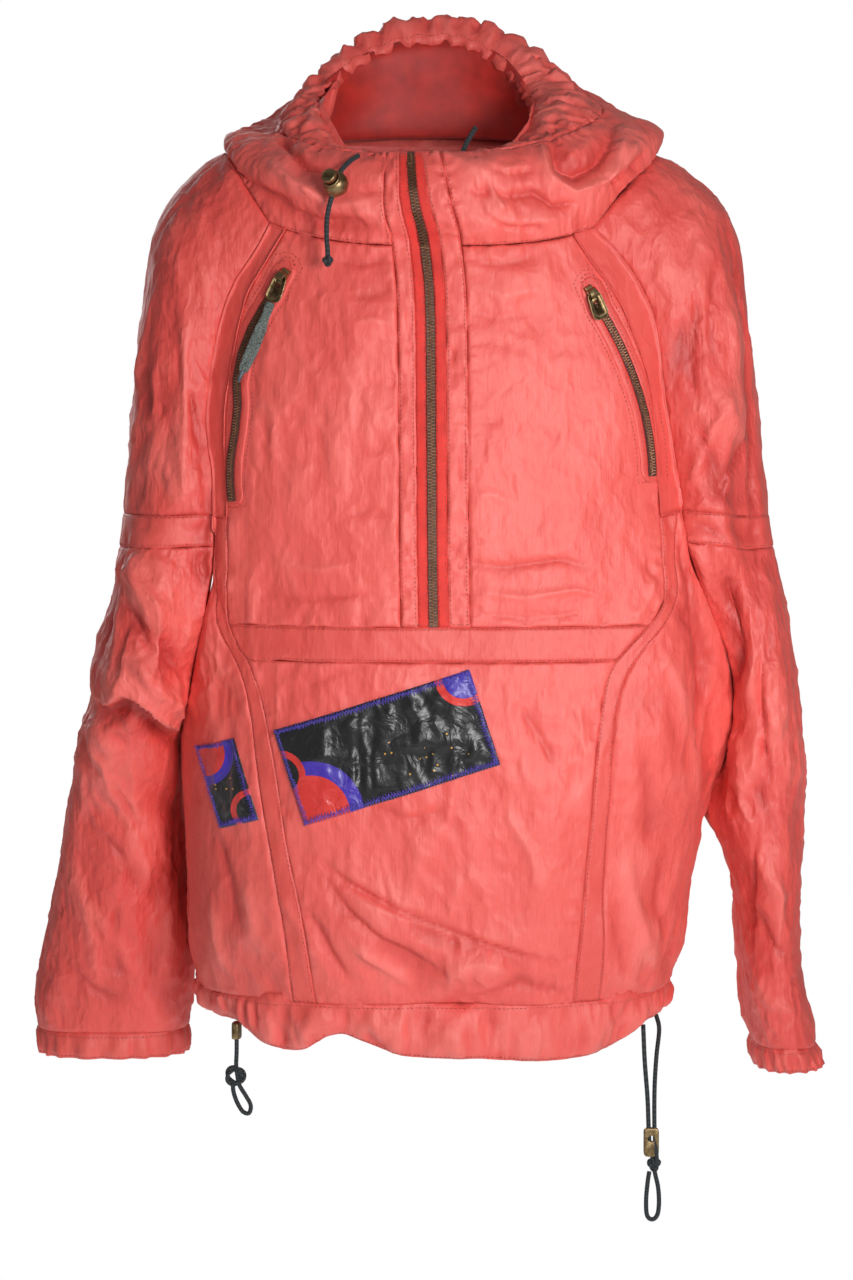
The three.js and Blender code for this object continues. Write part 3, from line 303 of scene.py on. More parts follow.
def washedNylon(name, cloth, shade, bright, crinkle=1.0):
    # Thin nylon taffeta, washed until it crinkled: a silky gloss along its crests, and fine slubs
    # and pressed creases that run down the warp.
    material, tree, shader, place = newMaterial(
        name,
        {"Roughness": 0.56, "IOR": 1.5, "Specular IOR Level": 0.65, "Sheen Weight": 0.15,
         "Sheen Roughness": 0.4, "Sheen Tint": linearColour("#ffb0a4")},
    )
    # The relief height read here darkens the colour in the folds' troughs and lightens it on their crests: painted
    # shade and painted light, mixed with the real washed blotches and slubs.
    relief = addNode(tree, "ShaderNodeAttribute", {"attribute_name": "relief"})
    warp = addNode(tree, "ShaderNodeMapping", {"Scale": (800, 800, 22)}, {"Vector": (place, "Object")})
    slubs = addNode(tree, "ShaderNodeTexNoise", {"Scale": 1.0, "Detail": 3.0}, {"Vector": (warp, "Vector")})
    washed = addNode(
        tree, "ShaderNodeTexNoise", {"Scale": 20.0, "Detail": 5.0, "Roughness": 0.6}, {"Vector": (place, "Object")}
    )
    slubTone = addNode(
        tree, "ShaderNodeMath", {"operation": "MULTIPLY_ADD", 1: 0.3, 2: 0.3}, {0: (slubs, "Fac")}
    )
    washTone = addNode(
        tree, "ShaderNodeMath", {"operation": "MULTIPLY_ADD", 1: 0.25}, {0: (washed, "Fac"), 2: (slubTone, "Value")}
    )
    tone = addNode(
        tree, "ShaderNodeMath", {"operation": "MULTIPLY_ADD", 1: 0.8}, {0: (relief, "Fac"), 2: (washTone, "Value")}
    )
    ramp = addNode(tree, "ShaderNodeValToRGB", links={"Fac": (tone, "Value")})
    setRamp(ramp, [(0.1, shade), (0.55, cloth), (0.95, bright)])
    tree.links.new(ramp.outputs["Color"], shader.inputs["Base Color"])
    # pressed creases 4 to 8 mm apart that run down the warp, crinkles 3 to 8 mm across, and slubs
    pressed = addNode(tree, "ShaderNodeMapping", {"Scale": (150, 150, 17)}, {"Vector": (place, "Object")})
    creases = addNode(
        tree, "ShaderNodeTexNoise", {"Scale": 1.0, "Detail": 4.0, "Roughness": 0.6, "Distortion": 0.5},
        {"Vector": (pressed, "Vector")},
    )
    crumple = addNode(
        tree, "ShaderNodeTexNoise", {"Scale": 150.0, "Detail": 4.0, "Roughness": 0.55, "Distortion": 1.0},
        {"Vector": (place, "Object")},
    )
    # flat facets with sharp folded edges between them, 25 and 9 mm wide and longer down the warp
    wander = addNode(
        tree, "ShaderNodeTexNoise", {"Scale": 40.0, "Detail": 2.0, "noise_dimensions": "3D"},
        {"Vector": (place, "Object")},
    )
    bentPlace = addNode(
        tree, "ShaderNodeVectorMath", {"operation": "MULTIPLY_ADD", 1: (0.02, 0.02, 0.02)},
        {0: (wander, "Color"), 2: (place, "Object")},
    )
    heights = []
    for across, along in ((38, 20), (105, 60)):
        stretched = addNode(
            tree, "ShaderNodeMapping", {"Scale": (across, across, along), "Rotation": (0, 0.2, 0)},
            {"Vector": (bentPlace, "Vector")},
        )
        heights.append(addNode(
            tree, "ShaderNodeTexVoronoi", {"feature": "F1", "Scale": 1.0, "Detail": 1.0, "Roughness": 0.4},
            {"Vector": (stretched, "Vector")},
        ))
    bumpCreases = addNode(
        tree, "ShaderNodeBump", {"Strength": 0.8 * crinkle, "Distance": 0.0016}, {"Height": (creases, "Fac")}
    )
    bumpCrushed = addNode(
        tree, "ShaderNodeBump", {"Strength": 0.8 * crinkle, "Distance": 0.005},
        {"Height": (heights[0], "Distance"), "Normal": (bumpCreases, "Normal")},
    )
    bumpSmall = addNode(
        tree, "ShaderNodeBump", {"Strength": 0.7 * crinkle, "Distance": 0.0014},
        {"Height": (heights[1], "Distance"), "Normal": (bumpCrushed, "Normal")},
    )
    bumpCrinkle = addNode(
        tree, "ShaderNodeBump", {"Strength": 0.3 * crinkle, "Distance": 0.001},
        {"Height": (crumple, "Fac"), "Normal": (bumpSmall, "Normal")},
    )
    bumpSlubs = addNode(
        tree, "ShaderNodeBump", {"Strength": 0.25, "Distance": 0.0003},
        {"Height": (slubs, "Fac"), "Normal": (bumpCrinkle, "Normal")},
    )
    tree.links.new(bumpSlubs.outputs["Normal"], shader.inputs["Normal"])
    return material


def wovenTape(name, cloth, shade, roughness=0.7, ribsPerMetre=900, depth=0.25):
    # Narrow woven polyester: matt, even, with fine ribs that run across it.
    material, tree, shader, place = newMaterial(name, {"Roughness": roughness, "Sheen Weight": 0.15})
    weave = addNode(
        tree, "ShaderNodeTexWave",
        {"Scale": ribsPerMetre / 20, "bands_direction": "Z", "Distortion": 1.5, "Detail": 2.0},
        {"Vector": (place, "Object")},
    )
    worn = addNode(tree, "ShaderNodeTexNoise", {"Scale": 70.0, "Detail": 4.0}, {"Vector": (place, "Object")})
    ramp = addNode(tree, "ShaderNodeValToRGB", links={"Fac": (worn, "Fac")})
    setRamp(ramp, [(0.3, shade), (0.7, cloth)])
    tree.links.new(ramp.outputs["Color"], shader.inputs["Base Color"])
    bump = addNode(tree, "ShaderNodeBump", {"Strength": depth, "Distance": 0.0003}, {"Height": (weave, "Fac")})
    tree.links.new(bump.outputs["Normal"], shader.inputs["Normal"])
    return material


def printedSatin(name, centre, tilt, discs, dots):
    # Black satin with a plain printed pattern of discs and small gold dots: a close smooth gloss.
    material, tree, shader, place = newMaterial(
        name, {"Roughness": 0.34, "Specular IOR Level": 0.5, "Sheen Weight": 0.2}
    )
    local = addNode(
        tree, "ShaderNodeMapping",
        {"vector_type": "TEXTURE", "Location": Vector(centre) * mm, "Rotation": (0, -math.radians(tilt), 0)},
        {"Vector": (place, "Object")},
    )
    flat = addNode(
        tree, "ShaderNodeVectorMath", {"operation": "MULTIPLY", 1: (1000, 0, 1000)}, {0: (local, "Vector")}
    )
    last = None
    for x, z, radius, inner, outer in discs:
        away = addNode(
            tree, "ShaderNodeVectorMath", {"operation": "DISTANCE", 1: (x, 0, z)}, {0: (flat, "Vector")}
        )
        share = addNode(tree, "ShaderNodeMath", {"operation": "DIVIDE", 1: radius * 2}, {0: (away, "Value")})
        ring = addNode(tree, "ShaderNodeValToRGB", links={"Fac": (share, "Value")})
        setRamp(ring, [(0, inner), (0.36, outer)], "CONSTANT")
        inside = addNode(tree, "ShaderNodeMath", {"operation": "LESS_THAN", 1: 0.5}, {0: (share, "Value")})
        links = {0: (inside, "Value"), 7: (ring, "Color")}
        if last:
            links[6] = (last, 2)
        last = addNode(
            tree, "ShaderNodeMix", {"data_type": "RGBA", 6: linearColour("#161618")}, links
        )
    spots = addNode(tree, "ShaderNodeTexVoronoi", {"Scale": 0.16, "Randomness": 0.75}, {"Vector": (flat, "Vector")})
    small = addNode(tree, "ShaderNodeMath", {"operation": "LESS_THAN", 1: 0.13}, {0: (spots, "Distance")})
    way = addNode(
        tree, "ShaderNodeVectorMath", {"operation": "DISTANCE", 1: (dots[0], 0, dots[1])}, {0: (flat, "Vector")}
    )
    near = addNode(tree, "ShaderNodeMath", {"operation": "LESS_THAN", 1: dots[2]}, {0: (way, "Value")})
    both = addNode(
        tree, "ShaderNodeMath", {"operation": "MULTIPLY"}, {0: (small, "Value"), 1: (near, "Value")}
    )
    gold = addNode(
        tree, "ShaderNodeMix", {"data_type": "RGBA", 7: linearColour("#c9963a")}, {0: (both, "Value"), 6: (last, 2)}
    )
    tree.links.new(gold.outputs[2], shader.inputs["Base Color"])
    folds = addNode(
        tree, "ShaderNodeTexNoise", {"Scale": 60.0, "Detail": 4.0, "Distortion": 1.5}, {"Vector": (place, "Object")}
    )
    bump = addNode(tree, "ShaderNodeBump", {"Strength": 0.6, "Distance": 0.003}, {"Height": (folds, "Fac")})
    tree.links.new(bump.outputs["Normal"], shader.inputs["Normal"])
    return material


def agedBrass(name, bright, dark, roughness=(0.28, 0.55)):
    # Antiqued brass: dark in its hollows, rubbed bright on its edges, a satin gloss.
    material, tree, shader, place = newMaterial(name, {"Metallic": 1.0})
    worn = addNode(tree, "ShaderNodeTexNoise", {"Scale": 320.0, "Detail": 4.0}, {"Vector": (place, "Object")})
    shape = addNode(tree, "ShaderNodeNewGeometry")
    edges = addNode(
        tree, "ShaderNodeMath", {"operation": "MULTIPLY_ADD", 1: 1.4, 2: -0.7}, {0: (shape, "Pointiness")}
    )
    both = addNode(tree, "ShaderNodeMath", {"operation": "ADD"}, {0: (edges, "Value"), 1: (worn, "Fac")})
    ramp = addNode(tree, "ShaderNodeValToRGB", links={"Fac": (both, "Value")})
    setRamp(ramp, [(0.3, dark), (0.66, bright)])
    tree.links.new(ramp.outputs["Color"], shader.inputs["Base Color"])
    gloss = addNode(
        tree, "ShaderNodeMapRange", {"To Min": roughness[0], "To Max": roughness[1]}, {"Value": (worn, "Fac")}
    )
    tree.links.new(gloss.outputs["Result"], shader.inputs["Roughness"])
    return material


def braidedCord(name, cloth, fleck, strands=8):
    # Round polyester braid: matt, with a diamond pattern of strands and a fleck of lighter yarn.
    material, tree, shader, place = newMaterial(name, {"Roughness": 0.75, "Sheen Weight": 0.08})
    turned = addNode(
        tree, "ShaderNodeMapping",
        {"Scale": (strands * 1.41421, strands * 0.8, 1), "Rotation": (0, 0, math.radians(45))},
        {"Vector": (place, "UV")},
    )
    check = addNode(tree, "ShaderNodeTexChecker", {"Scale": 1.0}, {"Vector": (turned, "Vector")})
    check.inputs["Color1"].default_value = linearColour(cloth)
    check.inputs["Color2"].default_value = linearColour(fleck)
    tree.links.new(check.outputs["Color"], shader.inputs["Base Color"])
    bump = addNode(tree, "ShaderNodeBump", {"Strength": 0.6, "Distance": 0.0005}, {"Height": (check, "Fac")})
    tree.links.new(bump.outputs["Normal"], shader.inputs["Normal"])
    return material


def sewingThread(name, bright, dark):
    # Spun polyester thread: soft gloss, uneven tone from stitch to stitch.
    material, tree, shader, place = newMaterial(name, {"Roughness": 0.5, "Sheen Weight": 0.2})
    tone = addNode(tree, "ShaderNodeTexNoise", {"Scale": 260.0, "Detail": 2.0}, {"Vector": (place, "Object")})
    ramp = addNode(tree, "ShaderNodeValToRGB", links={"Fac": (tone, "Fac")})
    setRamp(ramp, [(0.35, dark), (0.65, bright)])
    tree.links.new(ramp.outputs["Color"], shader.inputs["Base Color"])
    return material


def knitStrap(name, cloth, fleck):
    # Flat knitted polyester strap: matt, mottled, with small knit ribs.
    material, tree, shader, place = newMaterial(name, {"Roughness": 0.8, "Sheen Weight": 0.3})
    yarn = addNode(tree, "ShaderNodeTexNoise", {"Scale": 1100.0, "Detail": 2.0}, {"Vector": (place, "Object")})
    ramp = addNode(tree, "ShaderNodeValToRGB", links={"Fac": (yarn, "Fac")})
    setRamp(ramp, [(0.4, cloth), (0.62, fleck)])
    tree.links.new(ramp.outputs["Color"], shader.inputs["Base Color"])
    bump = addNode(tree, "ShaderNodeBump", {"Strength": 0.7, "Distance": 0.0005}, {"Height": (yarn, "Fac")})
    tree.links.new(bump.outputs["Normal"], shader.inputs["Normal"])
    return material


def mouldedTip(name, bright, dark):
    # Clear grey polyester shrunk hard on the cord: smooth and glossy, cloudy inside.
    material, tree, shader, place = newMaterial(name, {"Roughness": 0.22, "IOR": 1.55})
    cloud = addNode(tree, "ShaderNodeTexNoise", {"Scale": 400.0, "Detail": 2.0}, {"Vector": (place, "Object")})
    ramp = addNode(tree, "ShaderNodeValToRGB", links={"Fac": (cloud, "Fac")})
    setRamp(ramp, [(0.35, dark), (0.65, bright)])
    tree.links.new(ramp.outputs["Color"], shader.inputs["Base Color"])
    return material


redPrint, purplePrint, blackPrint = "#d2352f", "#3f2aa0", "#161618"
materials = {
    "shell": washedNylon("washed_nylon_taffeta", "#e6574f", "#c63a35", "#f07067", 0.55),
    "band": washedNylon("washed_nylon_bands", "#df4f47", "#c03631", "#ea675d", 0.4),
    # The sleeves' red is deeper than the body's: painted shade, for the sleeve turned from the light.
    "sleeve": washedNylon("washed_nylon_sleeves", "#df4c45", "#b4312c", "#ec685f", 0.9),
    "tape": wovenTape("woven_zip_tape", "#ea342a", "#d0281f"),
    # The lining's deep red is partly its own colour and partly painted shade for the inside of the collar.
    "lining": wovenTape("plain_lining", "#c0261c", "#a01c13", 0.6, 400, 0.1),
    "patchFront": printedSatin(
        "printed_satin_front", (-39, 0, -431), 18,
        [(-70, -30, 40, redPrint, purplePrint), (-84, 4, 19, blackPrint, redPrint),
         (72, 34, 22, purplePrint, redPrint)],
        (30, -10, 34),
    ),
    "patchSide": printedSatin(
        "printed_satin_side", (-162, 0, -463), 18,
        [(-14, 28, 26, redPrint, purplePrint), (12, -24, 17, blackPrint, redPrint)], (0, 0, 12),
    ),
    "brass": agedBrass("antiqued_brass", "#9d8863", "#6a5439"),
    "teeth": agedBrass("antiqued_brass_teeth", "#7b5843", "#3b231a"),
    # dark brown for the chain under the zip teeth: painted shade between them
    "shadeBed": sewingThread("zip_chain_painted_shade", "#5b2a20", "#3a1c16"),
    "cord": braidedCord("polyester_braid", "#101417", "#333b3f"),
    "strap": knitStrap("knitted_strap", "#2e3432", "#6f7873"),
    "aglet": mouldedTip("moulded_polyester", "#59636a", "#3b4449"),
    "thread": sewingThread("polyester_thread", "#c8403a", "#a32e29"),
    "rayon": sewingThread("rayon_thread", "#5a41c4", "#38269a"),
}
print("materials made:", len(materials))


# Creases, listed one by one: line of (x, z), height, and its width above and below the line, all in mm
frontCreases = [
    (((-106, -505), (-71, -532), (-33, -553), (-6, -565), (28, -578), (60, -588), (106, -601)), -4.2, 3, 16),
    (((-93, -521), (-72, -552), (-41, -580), (-6, -600), (24, -614)), -4.0, 5, 13),
    (((-83, -534), (-52, -551), (-6, -568), (47, -589)), 3.0, 10, 7),
    (((-101, -553), (-83, -588), (-66, -614)), -3.0, 4, 8),
    (((-71, -580), (-41, -599), (-14, -618)), 3.5, 8, 6),
    (((-135, -534), (-106, -568), (-89, -614)), 2.5, 9, 7),
    (((-6, -614), (28, -597), (63, -604)), 2.5, 6, 8),
    (((24, -626), (63, -614), (105, -626)), -2.5, 6, 5),
    (((-60, -472), (-22, -484), (13, -477)), -1.6, 6, 9),
    (((47, -472), (70, -511), (82, -553)), 1.8, 9, 7),
    (((105, -388), (112, -442), (107, -495)), 1.8, 8, 8),
    (((-106, -388), (-71, -371), (-29, -366)), -1.6, 5, 6),
    (((59, -396), (78, -422), (90, -449)), -1.8, 6, 9),
    (((140, -505), (150, -549), (161, -588), (170, -617)), 4.0, 8, 12),
    (((154, -419), (164, -472), (162, -518)), -3.0, 8, 8),
    (((176, -511), (171, -557), (179, -595)), -3.5, 6, 9),
    (((133, -549), (141, -588), (145, -618)), -2.5, 6, 6),
    (((-173, -495), (-163, -534), (-155, -588)), -3.0, 7, 9),
    (((-152, -526), (-143, -565), (-135, -607)), 2.5, 7, 7),
    (((-178, -549), (-172, -588), (-163, -618)), 3.0, 7, 7),
    (((-33, -59), (-60, -64), (-83, -59)), -1.6, 4, 5),
    (((-31, -81), (-51, -88), (-71, -87)), -1.5, 4, 6),
    (((-32, -111), (-52, -105), (-68, -111)), 1.2, 5, 4),
    (((-35, -150), (-58, -158)), -1.2, 4, 5),
    (((-34, -204), (-52, -207), (-71, -202)), -1.2, 4, 5),
    (((-32, -257), (-55, -251), (-75, -257)), -1.3, 4, 5),
    (((17, -59), (47, -64), (82, -56)), -1.8, 5, 6),
    (((18, -77), (47, -88), (84, -82)), 1.6, 6, 5),
    (((19, -96), (43, -105), (63, -102)), -1.4, 4, 6),
    (((19, -127), (40, -123), (59, -128)), -1.2, 4, 5),
    (((18, -177), (38, -184), (53, -181)), -1.1, 4, 5),
    (((18, -242), (40, -238), (63, -246)), 1.2, 5, 5),
    (((13, -288), (47, -294), (93, -288), (124, -296)), -1.9, 5, 7),
    (((18, -311), (63, -317), (105, -311), (133, -319)), 1.7, 6, 5),
    (((24, -328), (70, -333), (116, -328)), -1.4, 4, 5),
    (((-144, -311), (-106, -319), (-45, -313)), -1.5, 5, 6),
    (((-129, -288), (-91, -296), (-60, -290)), 1.2, 6, 6),
    (((-172, -219), (-179, -257), (-182, -296), (-178, -334)), -7.0, 9, 9),
    (((-158, -242), (-163, -288), (-161, -334)), 3.5, 8, 8),
    (((-185, -288), (-172, -319), (-158, -350)), -3.0, 6, 8),
    (((193, -88), (182, -134), (176, -188)), -2.5, 8, 9),
    (((166, -227), (185, -273), (200, -319)), -4.0, 7, 11),
    (((176, -242), (200, -288), (217, -334)), 4.0, 10, 8),
    (((154, -288), (176, -311), (204, -350)), -3.0, 6, 8),
    (((139, -357), (162, -319), (171, -288)), 2.2, 7, 7),
    (((193, -288), (203, -350), (210, -411)), -4.5, 9, 9),
    (((170, -350), (185, -388), (193, -434)), 2.5, 9, 8),
    (((-106, -442), (-83, -436), (-51, -442)), 1.2, 6, 6),
    (((-68, -411), (-58, -442), (-63, -465)), -1.2, 5, 6),
    (((-25, -380), (-14, -411), (-17, -442)), 1.2, 6, 6),
    (((-227, -262), (-235, -293), (-227, -325), (-219, -356)), 4.5, 10, 10),
    (((-252, -319), (-235, -334), (-211, -356), (-196, -396)), -5.0, 8, 12),
    (((-247, -293), (-227, -317), (-202, -334)), 3.5, 10, 8),
    (((-251, -356), (-227, -379), (-207, -404), (-196, -432)), 5.0, 12, 7),
    (((-257, -404), (-235, -413), (-211, -434), (-200, -463)), -5.5, 7, 9),
    (((-243, -325), (-215, -368), (-202, -404)), -3.0, 6, 7),
    (((-267, -451), (-243, -483), (-227, -523)), 2.4, 9, 9),
    (((-274, -507), (-251, -531), (-235, -566)), -2.4, 8, 9),
    (((-219, -467), (-210, -507), (-207, -562)), -3.0, 8, 9),
    (((-290, -562), (-267, -586), (-243, -630)), 2.4, 9, 9),
    (((-298, -618), (-278, -641), (-251, -653)), -2.0, 7, 8),
    (((-215, -562), (-219, -610), (-227, -649)), 2.4, 8, 8),
    (((-211, -87), (-200, -135), (-199, -190)), -2.0, 9, 9),
    (((-188, -40), (-177, -87), (-178, -135)), 1.8, 9, 9),
    (((-196, -151), (-184, -190), (-181, -238)), -3.5, 8, 9),
    (((-219, -198), (-207, -230), (-199, -255)), 2.2, 9, 7),
    (((216, -40), (210, -103), (216, -167)), -2.6, 9, 9),
    (((234, -87), (229, -151), (237, -206)), 2.4, 10, 9),
    (((199, -182), (216, -230), (240, -262)), -4.0, 8, 10),
    (((207, -151), (230, -190), (250, -214)), 3.5, 10, 8),
    (((219, -246), (242, -277), (260, -293)), -3.2, 7, 9),
    (((224, -293), (234, -356), (232, -404)), -6.0, 8, 10),
    (((242, -317), (245, -372), (240, -428)), 3.6, 9, 8),
    (((256, -341), (257, -404), (264, -467)), 2.4, 9, 8),
    (((238, -451), (256, -483), (271, -523)), -2.6, 8, 8),
    (((246, -507), (257, -539), (275, -562)), 2.6, 8, 8),
    (((248, -562), (262, -594), (283, -610)), -2.6, 7, 8),
    (((251, -618), (262, -641), (286, -649)), 2.4, 7, 7),
    (((204, -488), (219, -523), (237, -535)), -3.0, 6, 7),
    (((92, 54), (86, 32), (91, 12), (107, 2), (123, 12), (134, 34), (138, 54)), -7.0, 13, 4),
    (((86, 56), (78, 30), (83, 4), (104, -8), (128, 2), (143, 32), (147, 54)), 4.0, 4, 9),
    (((17, -7), (52, -13), (85, -10)), -2.6, 6, 8),
    (((25, -27), (63, -34), (102, -27)), 2.4, 8, 6),
    (((13, 8), (48, 5), (75, 11)), 2.2, 7, 7),
    (((-153, 5), (-130, -10), (-107, -21)), -3.0, 7, 9),
    (((-136, 21), (-114, -3), (-83, -15)), 2.8, 9, 8),
    (((-107, -30), (-72, -38), (-41, -35)), -2.2, 6, 7),
    (((-72, -4), (-53, -10), (-33, -7)), -2.2, 6, 6),
    (((133, -15), (148, 2), (160, 21)), -3.0, 7, 8),
    (((-68, -22), (-46, -27), (-33, -26)), 1.8, 6, 6),
    (((-276, -396), (-257, -404), (-241, -391), (-226, -400), (-210, -421), (-202, -441)), 7.5, 17, 2.5),
    (((-262, -411), (-243, -401), (-225, -410), (-211, -430)), -5.0, 2.5, 9),
    (((-248, -396), (-242, -380), (-241, -357), (-236, -335)), 3.0, 3, 9),
    (((-241, -262), (-243, -290), (-249, -312), (-259, -350), (-268, -385)), -4.0, 3, 3),
    (((-193, -90), (-194, -150), (-195, -214), (-193, -262)), 4.5, 3, 15),
    (((-225, -302), (-215, -330), (-217, -366), (-226, -392)), 4.0, 4, 12),
    (((-217, -70), (-229, -120), (-238, -170), (-240, -230)), 2.2, 3, 8),
    (((-245, -200), (-236, -162), (-224, -128)), -2.0, 3, 8),
    (((-268, -440), (-255, -482), (-238, -520), (-226, -568)), 3.0, 4, 12),
    (((-295, -520), (-282, -566), (-274, -612), (-271, -648)), 2.6, 4, 12),
    (((-252, -560), (-259, -600), (-250, -645)), -2.4, 4, 8),
    (((218, -8), (232, -56), (240, -105), (246, -184), (250, -262), (252, -334)), -4.2, 2.5, 9),
    (((199, -75), (200, -105), (195, -138), (199, -176)), -4.0, 3, 10),
    (((228, -148), (214, -184), (196, -223), (191, -243)), 3.6, 9, 3),
    (((245, -178), (238, -206), (220, -236), (210, -245)), -3.6, 3, 9),
    (((176, -133), (192, -158), (205, -180), (214, -206)), 1.6, 3, 5),
    (((222, -92), (228, -122), (226, -150)), 2.4, 3, 8),
    (((184, -268), (204, -262), (220, -273), (235, -290)), -3.2, 3, 8),
    (((200, -300), (210, -330), (228, -365), (232, -400)), 4.2, 3, 11),
    (((250, -352), (251, -400), (256, -440), (262, -478)), -3.6, 2.5, 7),
    (((232, -410), (240, -445), (238, -480), (250, -512)), 3.2, 3, 9),
    (((250, -500), (247, -560), (250, -612)), -3.0, 2.5, 7),
    (((258, -520), (269, -556), (267, -600)), 2.4, 3, 8),
    (((220, -498), (228, -540), (234, -580)), 2.6, 3, 8),
    (((-124, 55), (-120, 31), (-101, 9), (-80, 6)), -5.0, 8, 4),
    (((-134, 15), (-110, -4), (-80, -19), (-46, -16)), 3.6, 8, 4),
    (((-147, 1), (-120, -19), (-90, -33), (-46, -29)), -3.2, 4, 7),
    (((33, 8), (54, 5), (75, 9)), -2.6, 3, 6),
    (((21, 31), (45, 37), (77, 31)), -2.2, 3, 6),
    (((28, -24), (52, -36), (85, -36)), -3.0, 6, 3),
    (((38, -6), (45, -15), (52, -26)), 3.0, 3, 6),
    (((65, -4), (87, -19), (109, -16)), -3.2, 3, 7),
    (((119, 1), (141, 15), (158, 36)), 3.4, 3, 8),
    (((125, -6), (148, 9), (163, 29)), -3.0, 6, 3),
    (((62, 90), (70, 86), (79, 86)), 3.6, 4, 5),
    (((62, 75), (74, 72), (88, 73)), 3.6, 4, 5),
    (((87, 95), (100, 88), (112, 79)), 4.0, 4, 6),
    (((77, 70), (94, 66), (113, 67)), 3.6, 4, 5),
    (((-96, 84), (-106, 74), (-112, 62)), 3.6, 5, 4),
    (((-88, 66), (-98, 54), (-103, 42)), 3.2, 5, 4),
]
backCreases = [
    (((-120, -70), (-60, -95), (0, -100), (60, -92), (128, -66)), -3.0, 9, 7),
    (((-96, -104), (-40, -126), (20, -130), (84, -118)), 2.4, 7, 9),
    (((-158, -120), (-128, -170), (-112, -236)), -2.6, 8, 10),
    (((150, -116), (134, -168), (120, -228)), -2.8, 10, 8),
    (((-40, -150), (-46, -210), (-38, -262)), 1.8, 7, 7),
    (((52, -160), (60, -226), (52, -290)), -1.8, 6, 8),
    (((-150, -262), (-96, -292), (-36, -300)), -2.4, 8, 6),
    (((-10, -318), (52, -306), (118, -280), (160, -250)), 2.6, 8, 8),
    (((-172, -300), (-160, -360), (-150, -420)), 3.4, 9, 9),
    (((186, -290), (178, -352), (182, -410)), -3.4, 9, 9),
    (((-128, -378), (-84, -430), (-20, -458), (44, -466)), -3.6, 6, 13),
    (((-104, -402), (-56, -446), (10, -474)), 2.6, 9, 7),
    (((60, -372), (104, -402), (152, -420)), 2.2, 7, 8),
    (((-60, -340), (-66, -392), (-58, -440)), 1.4, 6, 6),
    (((20, -344), (26, -398), (18, -446)), -1.6, 6, 7),
    (((150, -430), (96, -486), (30, -520), (-24, -530)), -4.2, 7, 14),
    (((134, -458), (84, -508), (36, -536)), 3.0, 9, 7),
    (((-170, -460), (-130, -510), (-96, -560), (-80, -606)), -3.2, 8, 9),
    (((-52, -516), (-44, -560), (-56, -610)), 2.6, 7, 7),
    (((-8, -548), (4, -586), (-2, -620)), -2.4, 6, 7),
    (((44, -560), (60, -592), (56, -622)), 2.4, 7, 7),
    (((96, -540), (104, -580), (98, -620)), -2.6, 7, 7),
    (((168, -480), (162, -540), (170, -600)), 3.2, 8, 9),
    (((-128, -566), (-120, -596), (-128, -624)), 2.4, 6, 7),
    (((-226, -60), (-214, -120), (-208, -180)), -2.6, 9, 9),
    (((-190, -90), (-204, -150), (-226, -206)), 3.0, 10, 9),
    (((228, -70), (216, -130), (210, -190)), -2.6, 9, 9),
    (((196, -100), (214, -160), (236, -214)), 2.8, 9, 9),
    (((-206, -300), (-232, -330), (-248, -372)), -4.6, 8, 11),
    (((-196, -340), (-224, -372), (-252, -400)), 4.2, 10, 8),
    (((-202, -390), (-236, -430), (-262, -444)), -4.0, 8, 9),
    (((-214, -460), (-246, -500), (-276, -520)), 2.6, 9, 9),
    (((-226, -540), (-252, -590), (-290, -610)), -2.6, 8, 9),
    (((-240, -620), (-270, -644), (-304, -650)), 2.2, 7, 8),
    (((208, -300), (236, -326), (258, -366)), -4.2, 9, 10),
    (((204, -350), (238, -382), (262, -430)), 3.8, 10, 8),
    (((214, -420), (244, -462), (270, -500)), -3.2, 8, 9),
    (((226, -500), (252, -550), (280, -590)), 2.6, 9, 8),
    (((240, -590), (262, -630), (290, -650)), -2.4, 7, 8),
]

# Crumple is the height of the folds away from the seams, pucker that of the small waves along a seam,
# and puff that of the gathers in a casing. A lip is the way it faces and its length in mm.
clothColumns = ("node", "levels", "cuts", "crumple", "pucker", "puff", "finish", "wall", "inner", "lip")
clothRows = [
    ("lower_front", 2, 2, 0.8, 1.2, 0, "shell", 1.6, False, None),
    ("back_panel", 2, 1, 1.0, 0.9, 0, "shell", 1.6, False, ((0, 0, 1), 8)),
    ("waist_band", 3, 0, 0.3, 0.9, 0, "band", 1.6, False, None),
    ("collar", 3, 0, 1.1, 1.8, 0, "shell", 1.6, False, None),
    ("collar_casing", 2, 0, 0.8, 1.2, 2.2, "shell", 1.6, False, ((0, 0, -1), 6)),
    ("collar_lining", 2, 0, 0.2, 0.3, 0, "lining", 1.2, True, ((0, 0, 1), 9)),
    ("hem_casing_front", 2, 0, 0.8, 1.6, 2.0, "shell", 1.6, False, ((0, 0, 1), 7)),
    ("hem_casing_back", 2, 0, 0.8, 1.6, 2.0, "shell", 1.6, False, ((0, 0, 1), 7)),
]
